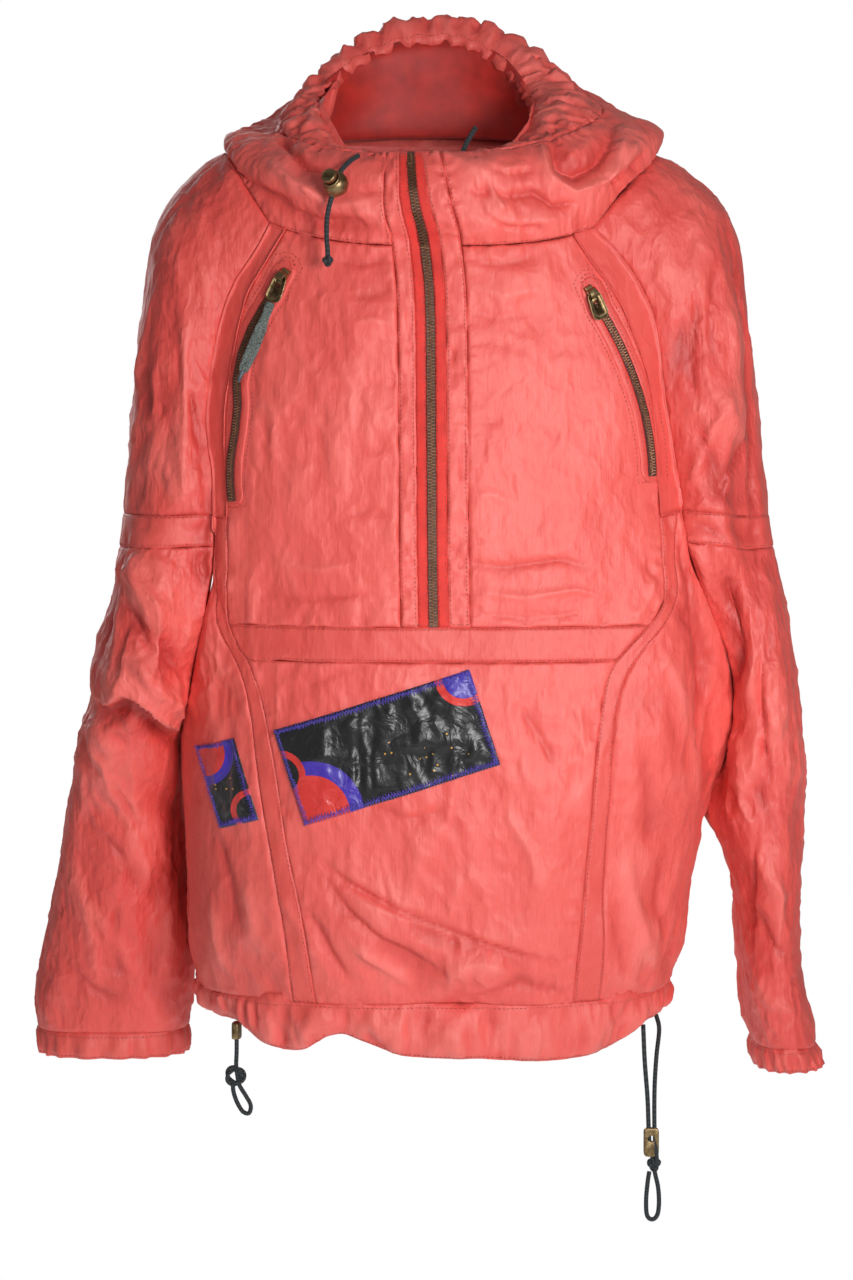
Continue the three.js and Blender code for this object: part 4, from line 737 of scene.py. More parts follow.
for side in ("right", "left"):
    clothRows += [
        (f"yoke_front_{side}", 2, 2, 0.7, 1.6, 0, "shell", 1.6, False, None),
        (f"raglan_band_{side}", 3, 0, 0.3, 0.8, 0, "band", 1.6, False, None),
        (f"side_band_{side}", 3, 0, 0.3, 0.8, 0, "band", 1.6, False, None),
        (f"side_panel_{side}", 2, 2, 1.1, 1.0, 0, "shell", 1.6, False, None),
        (f"placket_{side}", 3, 0, 0.3, 2.2, 0, "shell", 1.6, False, None),
        (f"zip_tape_{side}", 3, 0, 0.1, 0.1, 0, "tape", 1.2, False, None),
        (f"sleeve_upper_{side}", 2, 1, 1.2, 1.0, 0, "sleeve", 1.6, False, None),
        (f"elbow_band_{side}", 3, 0, 0.6, 0.9, 0, "band", 1.6, False, None),
        (f"sleeve_lower_front_{side}", 2, 2, 1.4, 1.2, 0, "sleeve", 1.6, False, None),
        (f"sleeve_lower_back_{side}", 2, 1, 1.4, 1.1, 0, "sleeve", 1.6, False, None),
        (f"cuff_{side}", 2, 0, 0.5, 1.2, 1.4, "band", 1.6, False, ((0, 0, 1), 7)),
        (f"collar_facing_{side}", 3, 0, 0.5, 0.5, 0, "shell", 1.2, True, ((0, 0, 1), 7)),
    ]
clothSkin = 0.7  # thickness of the shown cloth
slots = {part["node"]: part["material_slot"] for part in frame["record"]["subparts"]}

# what is sewn or clipped on lies on calm cloth
calmNodes = [n for n in frame["nodes"] if n.startswith(("pocket_", "collar_lock", "zip_chain"))]
calmPoints = np.concatenate([pointsOf(frame["nodes"][n].data) for n in calmNodes]) / mm
calmTree = KDTree(len(calmPoints))
for i, spot in enumerate(calmPoints):
    calmTree.insert(spot, i)
calmTree.balance()


def crumpleRelief(points, amount):
    # broad folds, then crinkles down to 7 mm that are uneven from place to place and run down the warp
    bend = [softNoise(points, (35, 35, 50), seed) for seed in (11, 12, 13)]
    bent = points + 9 * np.stack(bend, axis=1)
    busy = np.clip(0.75 + 0.9 * softNoise(points, (70, 70, 90), 21), 0.1, 1.6)
    slant = bent + np.stack([0.35 * bent[:, 2], 0 * bent[:, 1], 0 * bent[:, 2]], axis=1)
    relief = 1.6 * softNoise(bent, (60, 60, 90), 1)
    relief += 1.5 * busy * ridgedNoise(slant, (34, 36, 70), 2)
    relief += 1.1 * busy * ridgedNoise(bent, (15, 17, 40), 3)
    relief += 0.6 * busy * ridgedNoise(slant, (8, 8, 16), 7)
    relief += 0.3 * ridgedNoise(bent, (5, 5, 12), 4)
    return relief * amount


def reliefOf(mesh, cloth):
    points = pointsOf(mesh) / mm
    normals = pointsOf(mesh, "normal")
    border, tree = borderOf(mesh)
    found = [tree.find(p) for p in points]
    distance = np.array([f[2] for f in found])
    seamPoint = border[[f[1] for f in found]]
    away = smoothStep(distance, 0, 16)
    relief = crumpleRelief(points, cloth["crumple"]) * (0.12 + 0.88 * away)
    folds = creaseRelief(points, -normals[:, 1], frontCreases)
    folds += creaseRelief(points, normals[:, 1], backCreases)
    relief += folds * (0.3 + 0.7 * away)
    wave = softNoise(seamPoint, (10, 10, 10), 5) + 0.7 * ridgedNoise(seamPoint, (5.5, 5.5, 5.5), 6)
    reach = 8 + 5 * softNoise(seamPoint, (23, 23, 23), 9)
    relief += cloth["pucker"] * wave * np.exp(-((distance / reach) ** 2)) * smoothStep(distance, 0, 2.5)
    relief -= 0.5 * np.exp(-((distance / 1.4) ** 2))
    if cloth["puff"]:
        gathers = ridgedNoise(points, (8, 8, 22), 31) + softNoise(points, (15, 15, 30), 32)
        relief += cloth["puff"] * gathers * (0.25 + 0.75 * smoothStep(distance, 0, 7))
    calm = np.array([calmTree.find(p)[2] for p in points])
    return points, normals, relief * (0.08 + 0.92 * smoothStep(calm, 4, 18))


def makeCloth(row):
    cloth = dict(zip(clothColumns, row))
    node = cloth["node"]
    mesh = denseMesh(outerSheet(node, cloth["wall"], cloth["inner"]), node + "_cloth", cloth["levels"], cloth["cuts"])
    points, normals, relief = reliefOf(mesh, cloth)
    setPoints(mesh, (points + normals * relief[:, None]) * mm)
    # The relief is kept on the mesh for the material, which paints shade in its troughs and light on its crests.
    shade = mesh.attributes.new("relief", "FLOAT", "POINT")
    shade.data.foreach_set("value", np.clip(relief / 9, -0.4, 0.4).astype(np.float32))
    seamMeshes[node] = mesh.copy()
    turnUnder(mesh, 2.0, 4.0 if cloth["inner"] else 0.8, cloth["lip"])
    return dressed(mesh, node, cloth["finish"])


def dressed(mesh, node, finish):
    mesh.polygons.foreach_set("use_smooth", [True] * len(mesh.polygons))
    mesh.materials.append(materials[finish])
    piece = addObject(node + "_cloth", mesh)
    skin = piece.modifiers.new("skin", "SOLIDIFY")
    skin.thickness = clothSkin * mm
    skin.offset = -1
    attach(piece, "garment")
    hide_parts(node)
    return piece


seamMeshes, clothPieces = {}, {}
for row in clothRows:
    clothPieces[row[0]] = makeCloth(row)
print("cloth made:", len(clothPieces), "pieces")


def frontTree(names):
    bm = bmesh.new()
    for name in names:
        bm.from_mesh(seamMeshes[name])
    tree = BVHTree.FromBMesh(bm)
    bm.free()
    return tree


def ontoFront(tree, points, lift):
    # each point moved along the view of the front until it lies on the cloth, plus a lift in mm
    moved = points.copy()
    for i, (x, y, z) in enumerate(points):
        hit = tree.ray_cast(Vector((x, -400, z)) * mm, Vector((0, 1, 0)))
        if hit[0] is not None and abs(hit[0].y / mm - y) < 14:
            moved[i, 1] = hit[0].y / mm - lift
    return moved


# Two patches of printed satin, sewn on flat with a zigzag all round, with small folds of their own.
patchSettings = {"lift": 1.5, "fold": 1.3, "patches": {"patch_front": "patchFront", "patch_side": "patchSide"}}
frontCloth = frontTree(
    ["lower_front", "waist_band", "side_band_right", "side_panel_right", "side_band_left", "side_panel_left"]
)
for node, finish in patchSettings["patches"].items():
    mesh = denseMesh(outerSheet(node, 1.2), node + "_cloth", 3, 0)
    points = ontoFront(frontCloth, pointsOf(mesh) / mm, patchSettings["lift"])
    border, tree = borderOf(mesh)
    distance = np.array([tree.find(p)[2] for p in pointsOf(mesh) / mm])
    folds = ridgedNoise(points + 5 * softNoise(points, (20, 20, 20), 41)[:, None], (10, 10, 26), 42)
    folds += 0.6 * softNoise(points, (6, 6, 9), 43)
    points[:, 1] -= patchSettings["fold"] * np.clip(folds + 0.6, 0, 2) * smoothStep(distance, 5, 14)
    setPoints(mesh, points * mm)
    seamMeshes[node] = mesh.copy()
    turnUnder(mesh, 1.2, -0.2)
    clothPieces[node] = dressed(mesh, node, finish)
print("patches sewn on")

for name, node in frame["nodes"].items():
    if name in clothPieces:
        continue
    look = {"aged_brass": "brass", "cord_braid": "cord", "band_cloth": "band", "zip_tape": "tape"}
    node.data.materials.clear()
    node.data.materials.append(materials[look.get(slots[name], "shell")])


# Small things: teeth, stitches, cords, locks and pulls.
def meshFrom(bm, name):
    mesh = bpy.data.meshes.new(name)
    bm.to_mesh(mesh)
    bm.free()
    return mesh


def joinedCopies(name, template, spots):
    # One mesh of many copies of the template, each turned and placed by a 4 by 4 array.
    first = addObject(name + "_first", template)
    repeat = first.modifiers.new("repeat", "ARRAY")
    repeat.count = len(spots)
    repeat.use_relative_offset = False
    joined = evaluated(first)
    base = pointsOf(template)
    base = np.concatenate([base, np.ones((len(base), 1))], axis=1)
    placed = np.einsum("nij,vj->nvi", np.array(spots), base)[..., :3]
    bpy.data.objects.remove(first)
    setPoints(joined, placed.reshape(-1, 3))
    return joined


def spotFrame(place, along, out):
    # turns z along the way and y outwards
    along = along / np.linalg.norm(along)
    across = np.cross(out, along)
    across /= np.linalg.norm(across)
    spot = np.eye(4)
    spot[:3, 0], spot[:3, 1], spot[:3, 2] = across, np.cross(along, across), along
    spot[:3, 3] = np.array(place) * mm
    return spot


def addPiece(name, mesh, finish, body="garment", replaced=(), smooth=True):
    mesh.polygons.foreach_set("use_smooth", [smooth] * len(mesh.polygons))
    mesh.materials.clear()
    mesh.materials.append(materials[finish])
    piece = addObject(name, mesh)
    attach(piece, body)
    if replaced:
        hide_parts(*replaced)
    return piece


def evenPoints(points, step):
    # points at even steps along a row of points
    points = np.array(points, float)
    lengths = np.concatenate([[0], np.cumsum(np.linalg.norm(np.diff(points, axis=0), axis=1))])
    count = max(int(round(lengths[-1] / step)), 2)
    ways = np.linspace(0, lengths[-1], count + 1)
    return np.stack([np.interp(ways, lengths, points[:, k]) for k in range(3)], axis=1)


def smoothPath(points, steps=8):
    # a smooth curve through a row of points
    points = np.array(points, float)
    ends = np.concatenate([[2 * points[0] - points[1]], points, [2 * points[-1] - points[-2]]])
    made = []
    for a, b, c, d in zip(ends, ends[1:], ends[2:], ends[3:]):
        for t in np.arange(steps) / steps:
            made.append(0.5 * (2 * b + (c - a) * t + (2 * a - 5 * b + 4 * c - d) * t**2
                               + (3 * b - a - 3 * c + d) * t**3))
    return np.array(made + [points[-1]])


def tubeAlong(name, points, diameters, sides=10, closed=False, flat=1.0):
    # A grid wrapped round a path into a tube; its UVs run round it and, at the same scale, along it.
    points = np.array(points, float)
    diameters = np.broadcast_to(np.array(diameters, float), len(points))
    count = len(points)
    ways = np.gradient(points, axis=0)
    if closed:
        ways = np.roll(points, -1, axis=0) - np.roll(points, 1, axis=0)
        points, ways = np.vstack([points, points[:1]]), np.vstack([ways, ways[:1]])
        diameters = np.append(diameters, diameters[0])
        count += 1
    ways /= np.linalg.norm(ways, axis=1)[:, None]
    side = np.cross(ways[0], (0.31, -0.9, 0.3))
    rings = []
    for place, way, wide in zip(points, ways, diameters):
        side = side - way * side.dot(way)
        side /= np.linalg.norm(side)
        turn = np.linspace(0, 2 * np.pi, sides + 1)[:, None]
        rings.append(place + wide / 2 * (np.cos(turn) * side + flat * np.sin(turn) * np.cross(way, side)))
    bm = bmesh.new()
    bm.loops.layers.uv.new("UVMap")
    bmesh.ops.create_grid(bm, x_segments=sides, y_segments=count - 1, size=1, calc_uvs=True)
    mesh = meshFrom(bm, name)
    setPoints(mesh, np.concatenate(rings) * mm)
    # the second UV value becomes the length along the tube, counted in its girth
    steps = np.linalg.norm(np.diff(points, axis=0), axis=1)
    scale = steps.sum() / (math.pi * diameters.mean())
    for loop in mesh.uv_layers[0].data:
        loop.uv.y *= scale
    bm = bmesh.new()
    bm.from_mesh(mesh)
    bmesh.ops.remove_doubles(bm, verts=bm.verts, dist=1e-6)
    if not closed:
        bmesh.ops.holes_fill(bm, edges=[e for e in bm.edges if e.is_boundary], sides=sides)
    bmesh.ops.recalc_face_normals(bm, faces=bm.faces)
    bm.to_mesh(mesh)
    bm.free()
    return mesh


def softenedCopy(node, edge, finish, body="garment", levels=0):
    # A metal part of the frame again, with its edges broken by a small round.
    bm = bmesh.new()
    bm.from_mesh(frame["nodes"][node].data)
    bmesh.ops.remove_doubles(bm, verts=bm.verts, dist=1e-5)
    bmesh.ops.dissolve_limit(bm, angle_limit=math.radians(3), verts=bm.verts, edges=bm.edges)
    bmesh.ops.recalc_face_normals(bm, faces=bm.faces)
    piece = addPiece(node + "_metal", meshFrom(bm, node), finish, body, [node], smooth=False)
    if edge:
        rounds = piece.modifiers.new("rounds", "BEVEL")
        rounds.width = edge * mm
        rounds.segments = 3
        rounds.limit_method = "ANGLE"
        rounds.angle_limit = math.radians(28)
    if levels:
        smoother = piece.modifiers.new("smooth", "SUBSURF")
        smoother.levels = smoother.render_levels = levels
    piece.data.polygons.foreach_set("use_smooth", [True] * len(piece.data.polygons))
    return piece


# Zip chains: cast metal teeth in two rows that mesh, on the chain, which is coloured dark brown as painted shade
# between the teeth.
zipSettings = {
    "zip_chain": {"pitch": 2.5, "width": 6.6, "tooth": (4.1, 1.5, 1.45), "lift": 0.35, "trim": 1.0},
    "pocket_zip_right": {"pitch": 2.2, "width": 5.2, "tooth": (3.2, 1.3, 1.2), "lift": 0.35, "trim": 1.5},
    "pocket_zip_left": {"pitch": 2.2, "width": 5.2, "tooth": (3.2, 1.3, 1.2), "lift": 0.35, "trim": 1.5},
}


def chainMiddle(node):
    # the middle line of a chain's front face, cast from in front at every millimetre
    bm = bmesh.new()
    bm.from_mesh(frame["nodes"][node].data)
    tree = BVHTree.FromBMesh(bm)
    bm.free()
    low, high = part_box(node)
    line = []
    for z in np.arange(low[2] / mm + 0.8, high[2] / mm - 0.4, 1.0):
        row = [x for x in np.arange(low[0] / mm, high[0] / mm, 0.2)
               if tree.ray_cast(Vector((x, -400, z)) * mm, Vector((0, 1, 0)))[0] is not None]
        if len(row) > 8:
            x = (row[0] + row[-1]) / 2
            line.append((x, tree.ray_cast(Vector((x, -400, z)) * mm, Vector((0, 1, 0)))[0].y / mm, z))
    line = np.array(line[::-1])
    kernel = np.ones(5) / 5
    padded = np.vstack([line[:1]] * 2 + [line] + [line[-1:]] * 2)
    return np.stack([np.convolve(padded[:, k], kernel, "valid") for k in range(3)], axis=1)


def toothTemplate(size):
    bm = bmesh.new()
    bmesh.ops.create_cube(bm, size=1)
    bmesh.ops.scale(bm, verts=bm.verts, vec=Vector(size) * mm)
    for vert in bm.verts:
        if vert.co.x > 0:
            vert.co.z *= 0.72
    bmesh.ops.bevel(
        bm, geom=bm.edges[:], offset=0.22 * mm, segments=1, profile=0.5, affect="EDGES", material=-1
    )
    return meshFrom(bm, "tooth")


zipLines = {}
for node, zipper in zipSettings.items():
    line = zipLines[node] = chainMiddle(node)
    places = evenPoints(line[int(zipper["trim"]):], zipper["pitch"] / 2)
    ways = np.gradient(places, axis=0)
    wide, thick, tall = zipper["tooth"]
    spots = []
    for i, (place, way) in enumerate(zip(places, ways)):
        across = np.cross(way, (0, 1, 0))
        across /= np.linalg.norm(across)
        out = np.cross(way, across)
        out *= -np.sign(out[1]) / np.linalg.norm(out)
        hand = 1 if i % 2 else -1
        middle = place + hand * across * (zipper["width"] - wide) / 2 + out * zipper["lift"]
        spot = spotFrame(middle, hand * way, out)
        if np.dot(spot[:3, 0], hand * across) > 0:
            spot[:3, 0] *= -1
            spot[:3, 2] *= -1
        spots.append(spot)
    teeth = joinedCopies(node + "_teeth", toothTemplate((wide, thick, tall)), spots)
    addPiece(node + "_teeth", teeth, "teeth", smooth=False)
    # The chain under the teeth is coloured dark brown: painted shade between the teeth.
    shadeBed = frame["nodes"][node]
    shadeBed.data.materials.clear()
    shadeBed.data.materials.append(materials["shadeBed"])
print("zip teeth set")

# Sliders and pulls keep their shapes, with softened edges; the wire loops are drawn round.
for node, body in (("pocket_slider_right", "garment"), ("pocket_slider_left", "garment"), ("zip_slider", "garment")):
    softenedCopy(node, 0.5, "brass", body)
for node, body in (("pocket_pull_right", "pull_right"), ("pocket_pull_left", "pull_left")):
    softenedCopy(node, 0, "brass", body, levels=1)


def fromAbove(tree, place, reach=12):
    hit = tree.find_nearest(Vector(place) * mm)
    return np.array(hit[0]) / mm, np.array(hit[1])


# The pocket zips lie between two rolled welts, over a strip of the zip's red tape.
weltSettings = {
    "columns": (-9.5, -8.6, -7, -5, -3.7, -3.1, 0, 3.1, 3.7, 5, 7, 8.6, 9.5),
    "heights": (-0.6, 0.5, 0.9, 1.0, 0.8, 0.1, 0.1, 0.1, 0.8, 1.0, 0.9, 0.5, -0.6),
    "above": 20,
    "below": 6,
}
weltCloth = frontTree(
    [f"{name}_{side}" for name in ("yoke_front", "raglan_band", "side_band", "side_panel") for side in ("right", "left")]
)
weltRoutes = {}
for side in ("right", "left"):
    line = zipLines[f"pocket_zip_{side}"]
    top = line[0] - (line[10] - line[0]) / 10 * weltSettings["above"]
    foot = line[-1] + (line[-1] - line[-11]) / 10 * weltSettings["below"]
    route = weltRoutes[side] = evenPoints(np.vstack([top, line, foot]), 2.5)
    ways = np.gradient(route, axis=0)
    across = np.cross(ways, (0, 1, 0))
    across /= np.linalg.norm(across, axis=1)[:, None]
    # both ends are round
    share = np.arange(len(route)) * 2.5
    ends = np.minimum(share + 0.4, share[-1] - share + 0.4)
    narrow = np.sqrt(np.clip(1 - (1 - np.clip(ends / 9.5, 0, 1)) ** 2, 0, 1))
    rows = []
    for place, way, cut, end in zip(route, across, narrow, ends):
        for column, height in zip(weltSettings["columns"], weltSettings["heights"]):
            if end < 6 and abs(column) < 4:
                height = 0.9
            rows.append(np.append(place + way * column * cut, height))
    rows = np.array(rows)
    bm = bmesh.new()
    bmesh.ops.create_grid(bm, x_segments=len(weltSettings["columns"]) - 1, y_segments=len(route) - 1, size=1)
    mesh = meshFrom(bm, f"pocket_welt_{side}")
    points = ontoFront(weltCloth, rows[:, :3], 0.35)
    points[:, 1] -= rows[:, 3] + 0.25 * softNoise(points, (6, 6, 9), 51)
    setPoints(mesh, points * mm)
    bm = bmesh.new()
    bm.from_mesh(mesh)
    bmesh.ops.recalc_face_normals(bm, faces=bm.faces)
    if sum(f.normal.y for f in bm.faces) > 0:
        bmesh.ops.reverse_faces(bm, faces=bm.faces)
    middle = [f for f in bm.faces if abs(f.calc_center_median().y) > 0]
    bm.to_mesh(mesh)
    bm.free()
    # A slight painted shade on the welts: the material darkens them as a shallow trough.
    shade = mesh.attributes.new("relief", "FLOAT", "POINT")
    shade.data.foreach_set("value", np.full(len(points), -0.02, np.float32))
    piece = addPiece(f"pocket_welt_{side}", mesh, "band")
    piece.data.materials.append(materials["tape"])
    perRow = len(weltSettings["columns"]) - 1
    for face in piece.data.polygons:
        along, column = divmod(face.index, perRow)
        if 4 <= column <= 7 and 6 < along * 2.5 < share[-1] - 5:
            face.material_index = 1
    smoother = piece.modifiers.new("smooth", "SUBSURF")
    smoother.levels = smoother.render_levels = 1
    skin = piece.modifiers.new("skin", "SOLIDIFY")
    skin.thickness = 0.6 * mm
    skin.offset = -1
print("pocket welts made")


# Rows of lockstitch along the seams.
stitchSettings = {"length": 2.4, "pitch": 3.4, "wide": 0.8, "thick": 0.4, "lift": 0.12}
stitchRows = [
    ("waist_band", (1.8,)), ("collar_casing", (2.2,)), ("hem_casing_front", (1.6,)), ("hem_casing_back", (1.6,)),
    ("collar", (2.0,)),
]
for side in ("right", "left"):
    stitchRows += [
        (f"raglan_band_{side}", (1.6,)), (f"side_band_{side}", (1.6,)), (f"placket_{side}", (1.8,)),
        (f"elbow_band_{side}", (1.8,)), (f"cuff_{side}", (1.8,)), (f"zip_tape_{side}", (1.0,)),
        (f"collar_facing_{side}", (2.4,)),
    ]


def borderLoops(mesh):
    # each border as an ordered row of points and the ways into the sheet
    bm = bmesh.new()
    bm.from_mesh(mesh)
    left = {e for e in bm.edges if e.is_boundary}
    loops = []
    while left:
        edge = min(left, key=lambda e: e.index)
        vert, row = edge.verts[0], []
        while edge:
            left.discard(edge)
            other = edge.other_vert(vert)
            inward = edge.link_faces[0].calc_center_median() - (vert.co + other.co) / 2
            row.append((*vert.co, *inward.normalized()))
            vert = other
            edge = next((e for e in vert.link_edges if e in left), None)
        loops.append(np.array(row))
    bm.free()
    return loops


def stitchTemplate(settings):
    bm = bmesh.new()
    bmesh.ops.create_uvsphere(bm, u_segments=4, v_segments=2, radius=0.5)
    size = (settings["wide"], settings["thick"], settings["length"])
    bmesh.ops.scale(bm, verts=bm.verts, vec=Vector(size) * mm)
    return meshFrom(bm, "stitch")


def stitchSpots(mesh, inset, settings):
    bm = bmesh.new()
    bm.from_mesh(mesh)
    tree = BVHTree.FromBMesh(bm)
    bm.free()
    spots = []
    for loop in borderLoops(mesh):
        if len(loop) < 12:
            continue
        line = np.vstack([loop[:, :3] / mm + loop[:, 3:] * inset])
        places = evenPoints(line, settings["pitch"])
        ways = np.gradient(places, axis=0)
        for place, way in zip(places, ways):
            if np.linalg.norm(way) < 0.4 * settings["pitch"]:
                continue
            spot, out = fromAbove(tree, place)
            spots.append(spotFrame(spot + out * settings["lift"], way, out))
    return spots


allSpots = []
for node, insets in stitchRows:
    for inset in insets:
        allSpots += stitchSpots(seamMeshes[node], inset, stitchSettings)
for side in ("right", "left"):
    # two rows round each welt
    route = weltRoutes[side]
    ways = np.gradient(route, axis=0)
    across = np.cross(ways, (0, 1, 0))
    across /= np.linalg.norm(across, axis=1)[:, None]
    for reach in (5.4, 11.5):
        loop = np.vstack([route + across * reach, (route - across * reach)[::-1]])
        turned = [loop[-1] * (1 - t) + loop[0] * t for t in (0.25, 0.5, 0.75)]
        rise = (route[0] - route[4]) / np.linalg.norm(route[0] - route[4]) * reach * 0.55
        turned = [p + rise * lift for p, lift in zip(turned, (0.8, 1.0, 0.8))]
        line = evenPoints(np.vstack([loop, turned, loop[:1]]), stitchSettings["pitch"])
        line = ontoFront(weltCloth, line, 1.25 if reach < 8 else 0.2)
        for place, way in zip(line, np.gradient(line, axis=0)):
            allSpots.append(spotFrame(place, way, np.array((0, -1.0, 0))))
half = len(allSpots) // 2
for i, spots in enumerate((allSpots[:half], allSpots[half:])):
    stitches = joinedCopies(f"stitches_{i + 1}", stitchTemplate(stitchSettings), spots)
    addPiece(f"stitches_{i + 1}", stitches, "thread")
print("stitches sewn:", len(allSpots))

# Each patch is held by a close zigzag of rayon thread round its edge.
zigzagSettings = {"reach": 6.0, "over": 0.8, "pitch": 1.15, "wide": 0.75, "thick": 0.5}
zigzagSpots = []
for node in patchSettings["patches"]:
    bm = bmesh.new()
    bm.from_mesh(seamMeshes[node])
    tree = BVHTree.FromBMesh(bm)
    bm.free()
    for loop in borderLoops(seamMeshes[node]):
        edge = evenPoints(loop[:, :3] / mm, zigzagSettings["pitch"])
        inner = loop[:, :3] / mm + loop[:, 3:] * zigzagSettings["reach"]
        inner = evenPoints(inner, zigzagSettings["pitch"] * len(inner) / len(inner))
        ways = np.gradient(edge, axis=0)
        middle = edge.mean(0)
        for i, (place, way) in enumerate(zip(edge, ways)):
            inward = np.cross(way, (0, 1, 0))
            inward *= np.sign(np.dot(inward, middle - place)) / np.linalg.norm(inward)
            wander = 0.8 * math.sin(i * 1.7) + 0.6 * math.sin(i * 0.31)
            start = place - inward * zigzagSettings["over"]
            end = place + inward * (zigzagSettings["reach"] + wander)
            slant = way / np.linalg.norm(way) * (1.3 if i % 2 else -1.3)
            centre, thread = (start + end) / 2, end - start + slant
            spot, out = fromAbove(tree, centre)
            frame4 = spotFrame(spot + np.array((0, -0.35, 0)), thread, np.array((0, -1.0, 0)))
            frame4[:3, 2] *= np.linalg.norm(thread)
            zigzagSpots.append(frame4)
template = stitchTemplate({"wide": zigzagSettings["wide"], "thick": zigzagSettings["thick"], "length": 1000})
template.transform(Matrix.Diagonal((1, 1, 0.001, 1)))
zigzag = joinedCopies("patch_zigzag", template, zigzagSpots)
addPiece("patch_zigzag", zigzag, "rayon")
print("patches stitched:", len(zigzagSpots))


# Drawcords of round braid: each leaves its casing, runs through its lock and ends in a knot.
def turnedPiece(name, profile, place, way, finish, steps=32, replaced=()):
    # a row of (radius, height) points spun round the way and placed
    bm = bmesh.new()
    row = [bm.verts.new((radius * mm, 0, height * mm)) for radius, height in profile]
    edges = [bm.edges.new(pair) for pair in zip(row, row[1:])]
    bmesh.ops.spin(
        bm, geom=row + edges, cent=(0, 0, 0), axis=(0, 0, 1), angle=2 * math.pi, steps=steps, use_merge=True
    )
    bmesh.ops.remove_doubles(bm, verts=bm.verts, dist=1e-6)
    bmesh.ops.recalc_face_normals(bm, faces=bm.faces)
    turn = Vector(way).to_track_quat("Z", "Y").to_matrix().to_4x4()
    bmesh.ops.transform(bm, matrix=Matrix.Translation(Vector(place) * mm) @ turn, verts=bm.verts)
    return addPiece(name, meshFrom(bm, name), finish, replaced=replaced)


def arcRow(radius, start, end, count):
    angles = [math.radians(start + (end - start) * i / count) for i in range(count + 1)]
    return [(max(radius * math.cos(a), 0), radius * math.sin(a)) for a in angles]


def knotPiece(name, node, spread, depth, diameter, turns=(1, 2, 3), ring=0, lean=0.0):
    # a tight overhand knot, or with a ring a coil of cord round it
    low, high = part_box(node)
    middle = (np.array(low) + np.array(high)) / 2 / mm
    t = np.linspace(0, 2 * np.pi, 73)[:-1]
    if ring:
        round_ = ring + spread * np.cos(1.5 * 2 * t)
        path = np.stack([round_ * np.cos(2 * t), spread * np.sin(1.5 * 2 * t), round_ * np.sin(2 * t)], axis=1)
    else:
        x, z = np.sin(t) + 2 * np.sin(2 * t), np.cos(t) - 2 * np.cos(2 * t)
        path = np.stack([spread * x, depth * np.sin(3 * t), spread * z], axis=1)
    cosine, sine = math.cos(lean), math.sin(lean)
    path = path @ np.array([[cosine, 0, -sine], [0, 1, 0], [sine, 0, cosine]])
    mesh = tubeAlong(name, path + middle, diameter, 10, closed=True)
    return addPiece(name, mesh, "cord", replaced=[node])


lockSettings = {"place": (-77.5, -133, -4), "way": (-0.4, -0.78, 0.48), "radius": 9.4}
ballRow = arcRow(9.6, -90, 45, 26) + [(6.8, 7.4), (6.7, 8.3), (6.2, 8.6), (5.6, 8.4), (5.4, 7.6), (0, 7.5)]
buttonRow = [(0, 7.8), (4.4, 7.8), (4.4, 9.6), (5.5, 9.7), (5.8, 10.0), (5.8, 12.8), (5.6, 13.4), (5.1, 13.7),
             (4.4, 13.75), (4.0, 13.5), (0, 13.5)]
lockBall = turnedPiece("collar_lock_ball", ballRow, lockSettings["place"], lockSettings["way"], "brass",
                       replaced=["collar_lock"])
lockButton = turnedPiece("collar_lock_plunger", buttonRow, lockSettings["place"], lockSettings["way"], "brass",
                         replaced=["collar_lock_button"])
eyeletRow = [(2.3, 0.5), (2.6, 0.8), (3.1, 0.6), (3.4, 0.0), (3.2, -0.6), (2.2, -0.6), (2.3, 0.5)]
collarRoute = [(-61, -110.8, 18.6), (-66, -119, 14.8), (-71, -127.5, 9.6), (-74.6, -131.9, 4.4), (-78, -133, -4),
               (-80.6, -132.8, -13.5), (-84, -131, -27), (-84.6, -131, -42), (-83.6, -132, -58.5)]
eyelets = []
for name, nearPoint in (("upper", collarRoute[3]), ("lower", collarRoute[5])):
    out = np.array(nearPoint) - np.array(lockSettings["place"])
    out /= np.linalg.norm(out)
    place = np.array(lockSettings["place"]) + out * 8.9
    eyelets.append(turnedPiece(f"collar_lock_eyelet_{name}", eyeletRow, place, out, "brass", 20))

collarKnot = knotPiece("collar_knot", "collar_cord_knot", 0.95, 1.3, 3.3)
rightKnot = knotPiece("hem_knot_ring", "hem_knot_right", 1.5, 1.5, 3.0, ring=6.0)
leftKnot = knotPiece("hem_knot_small", "hem_knot_left", 1.45, 1.7, 3.6)
rightLock = softenedCopy("hem_lock_right", 0.7, "brass")
leftLock = softenedCopy("hem_lock_left", 0.8, "brass")

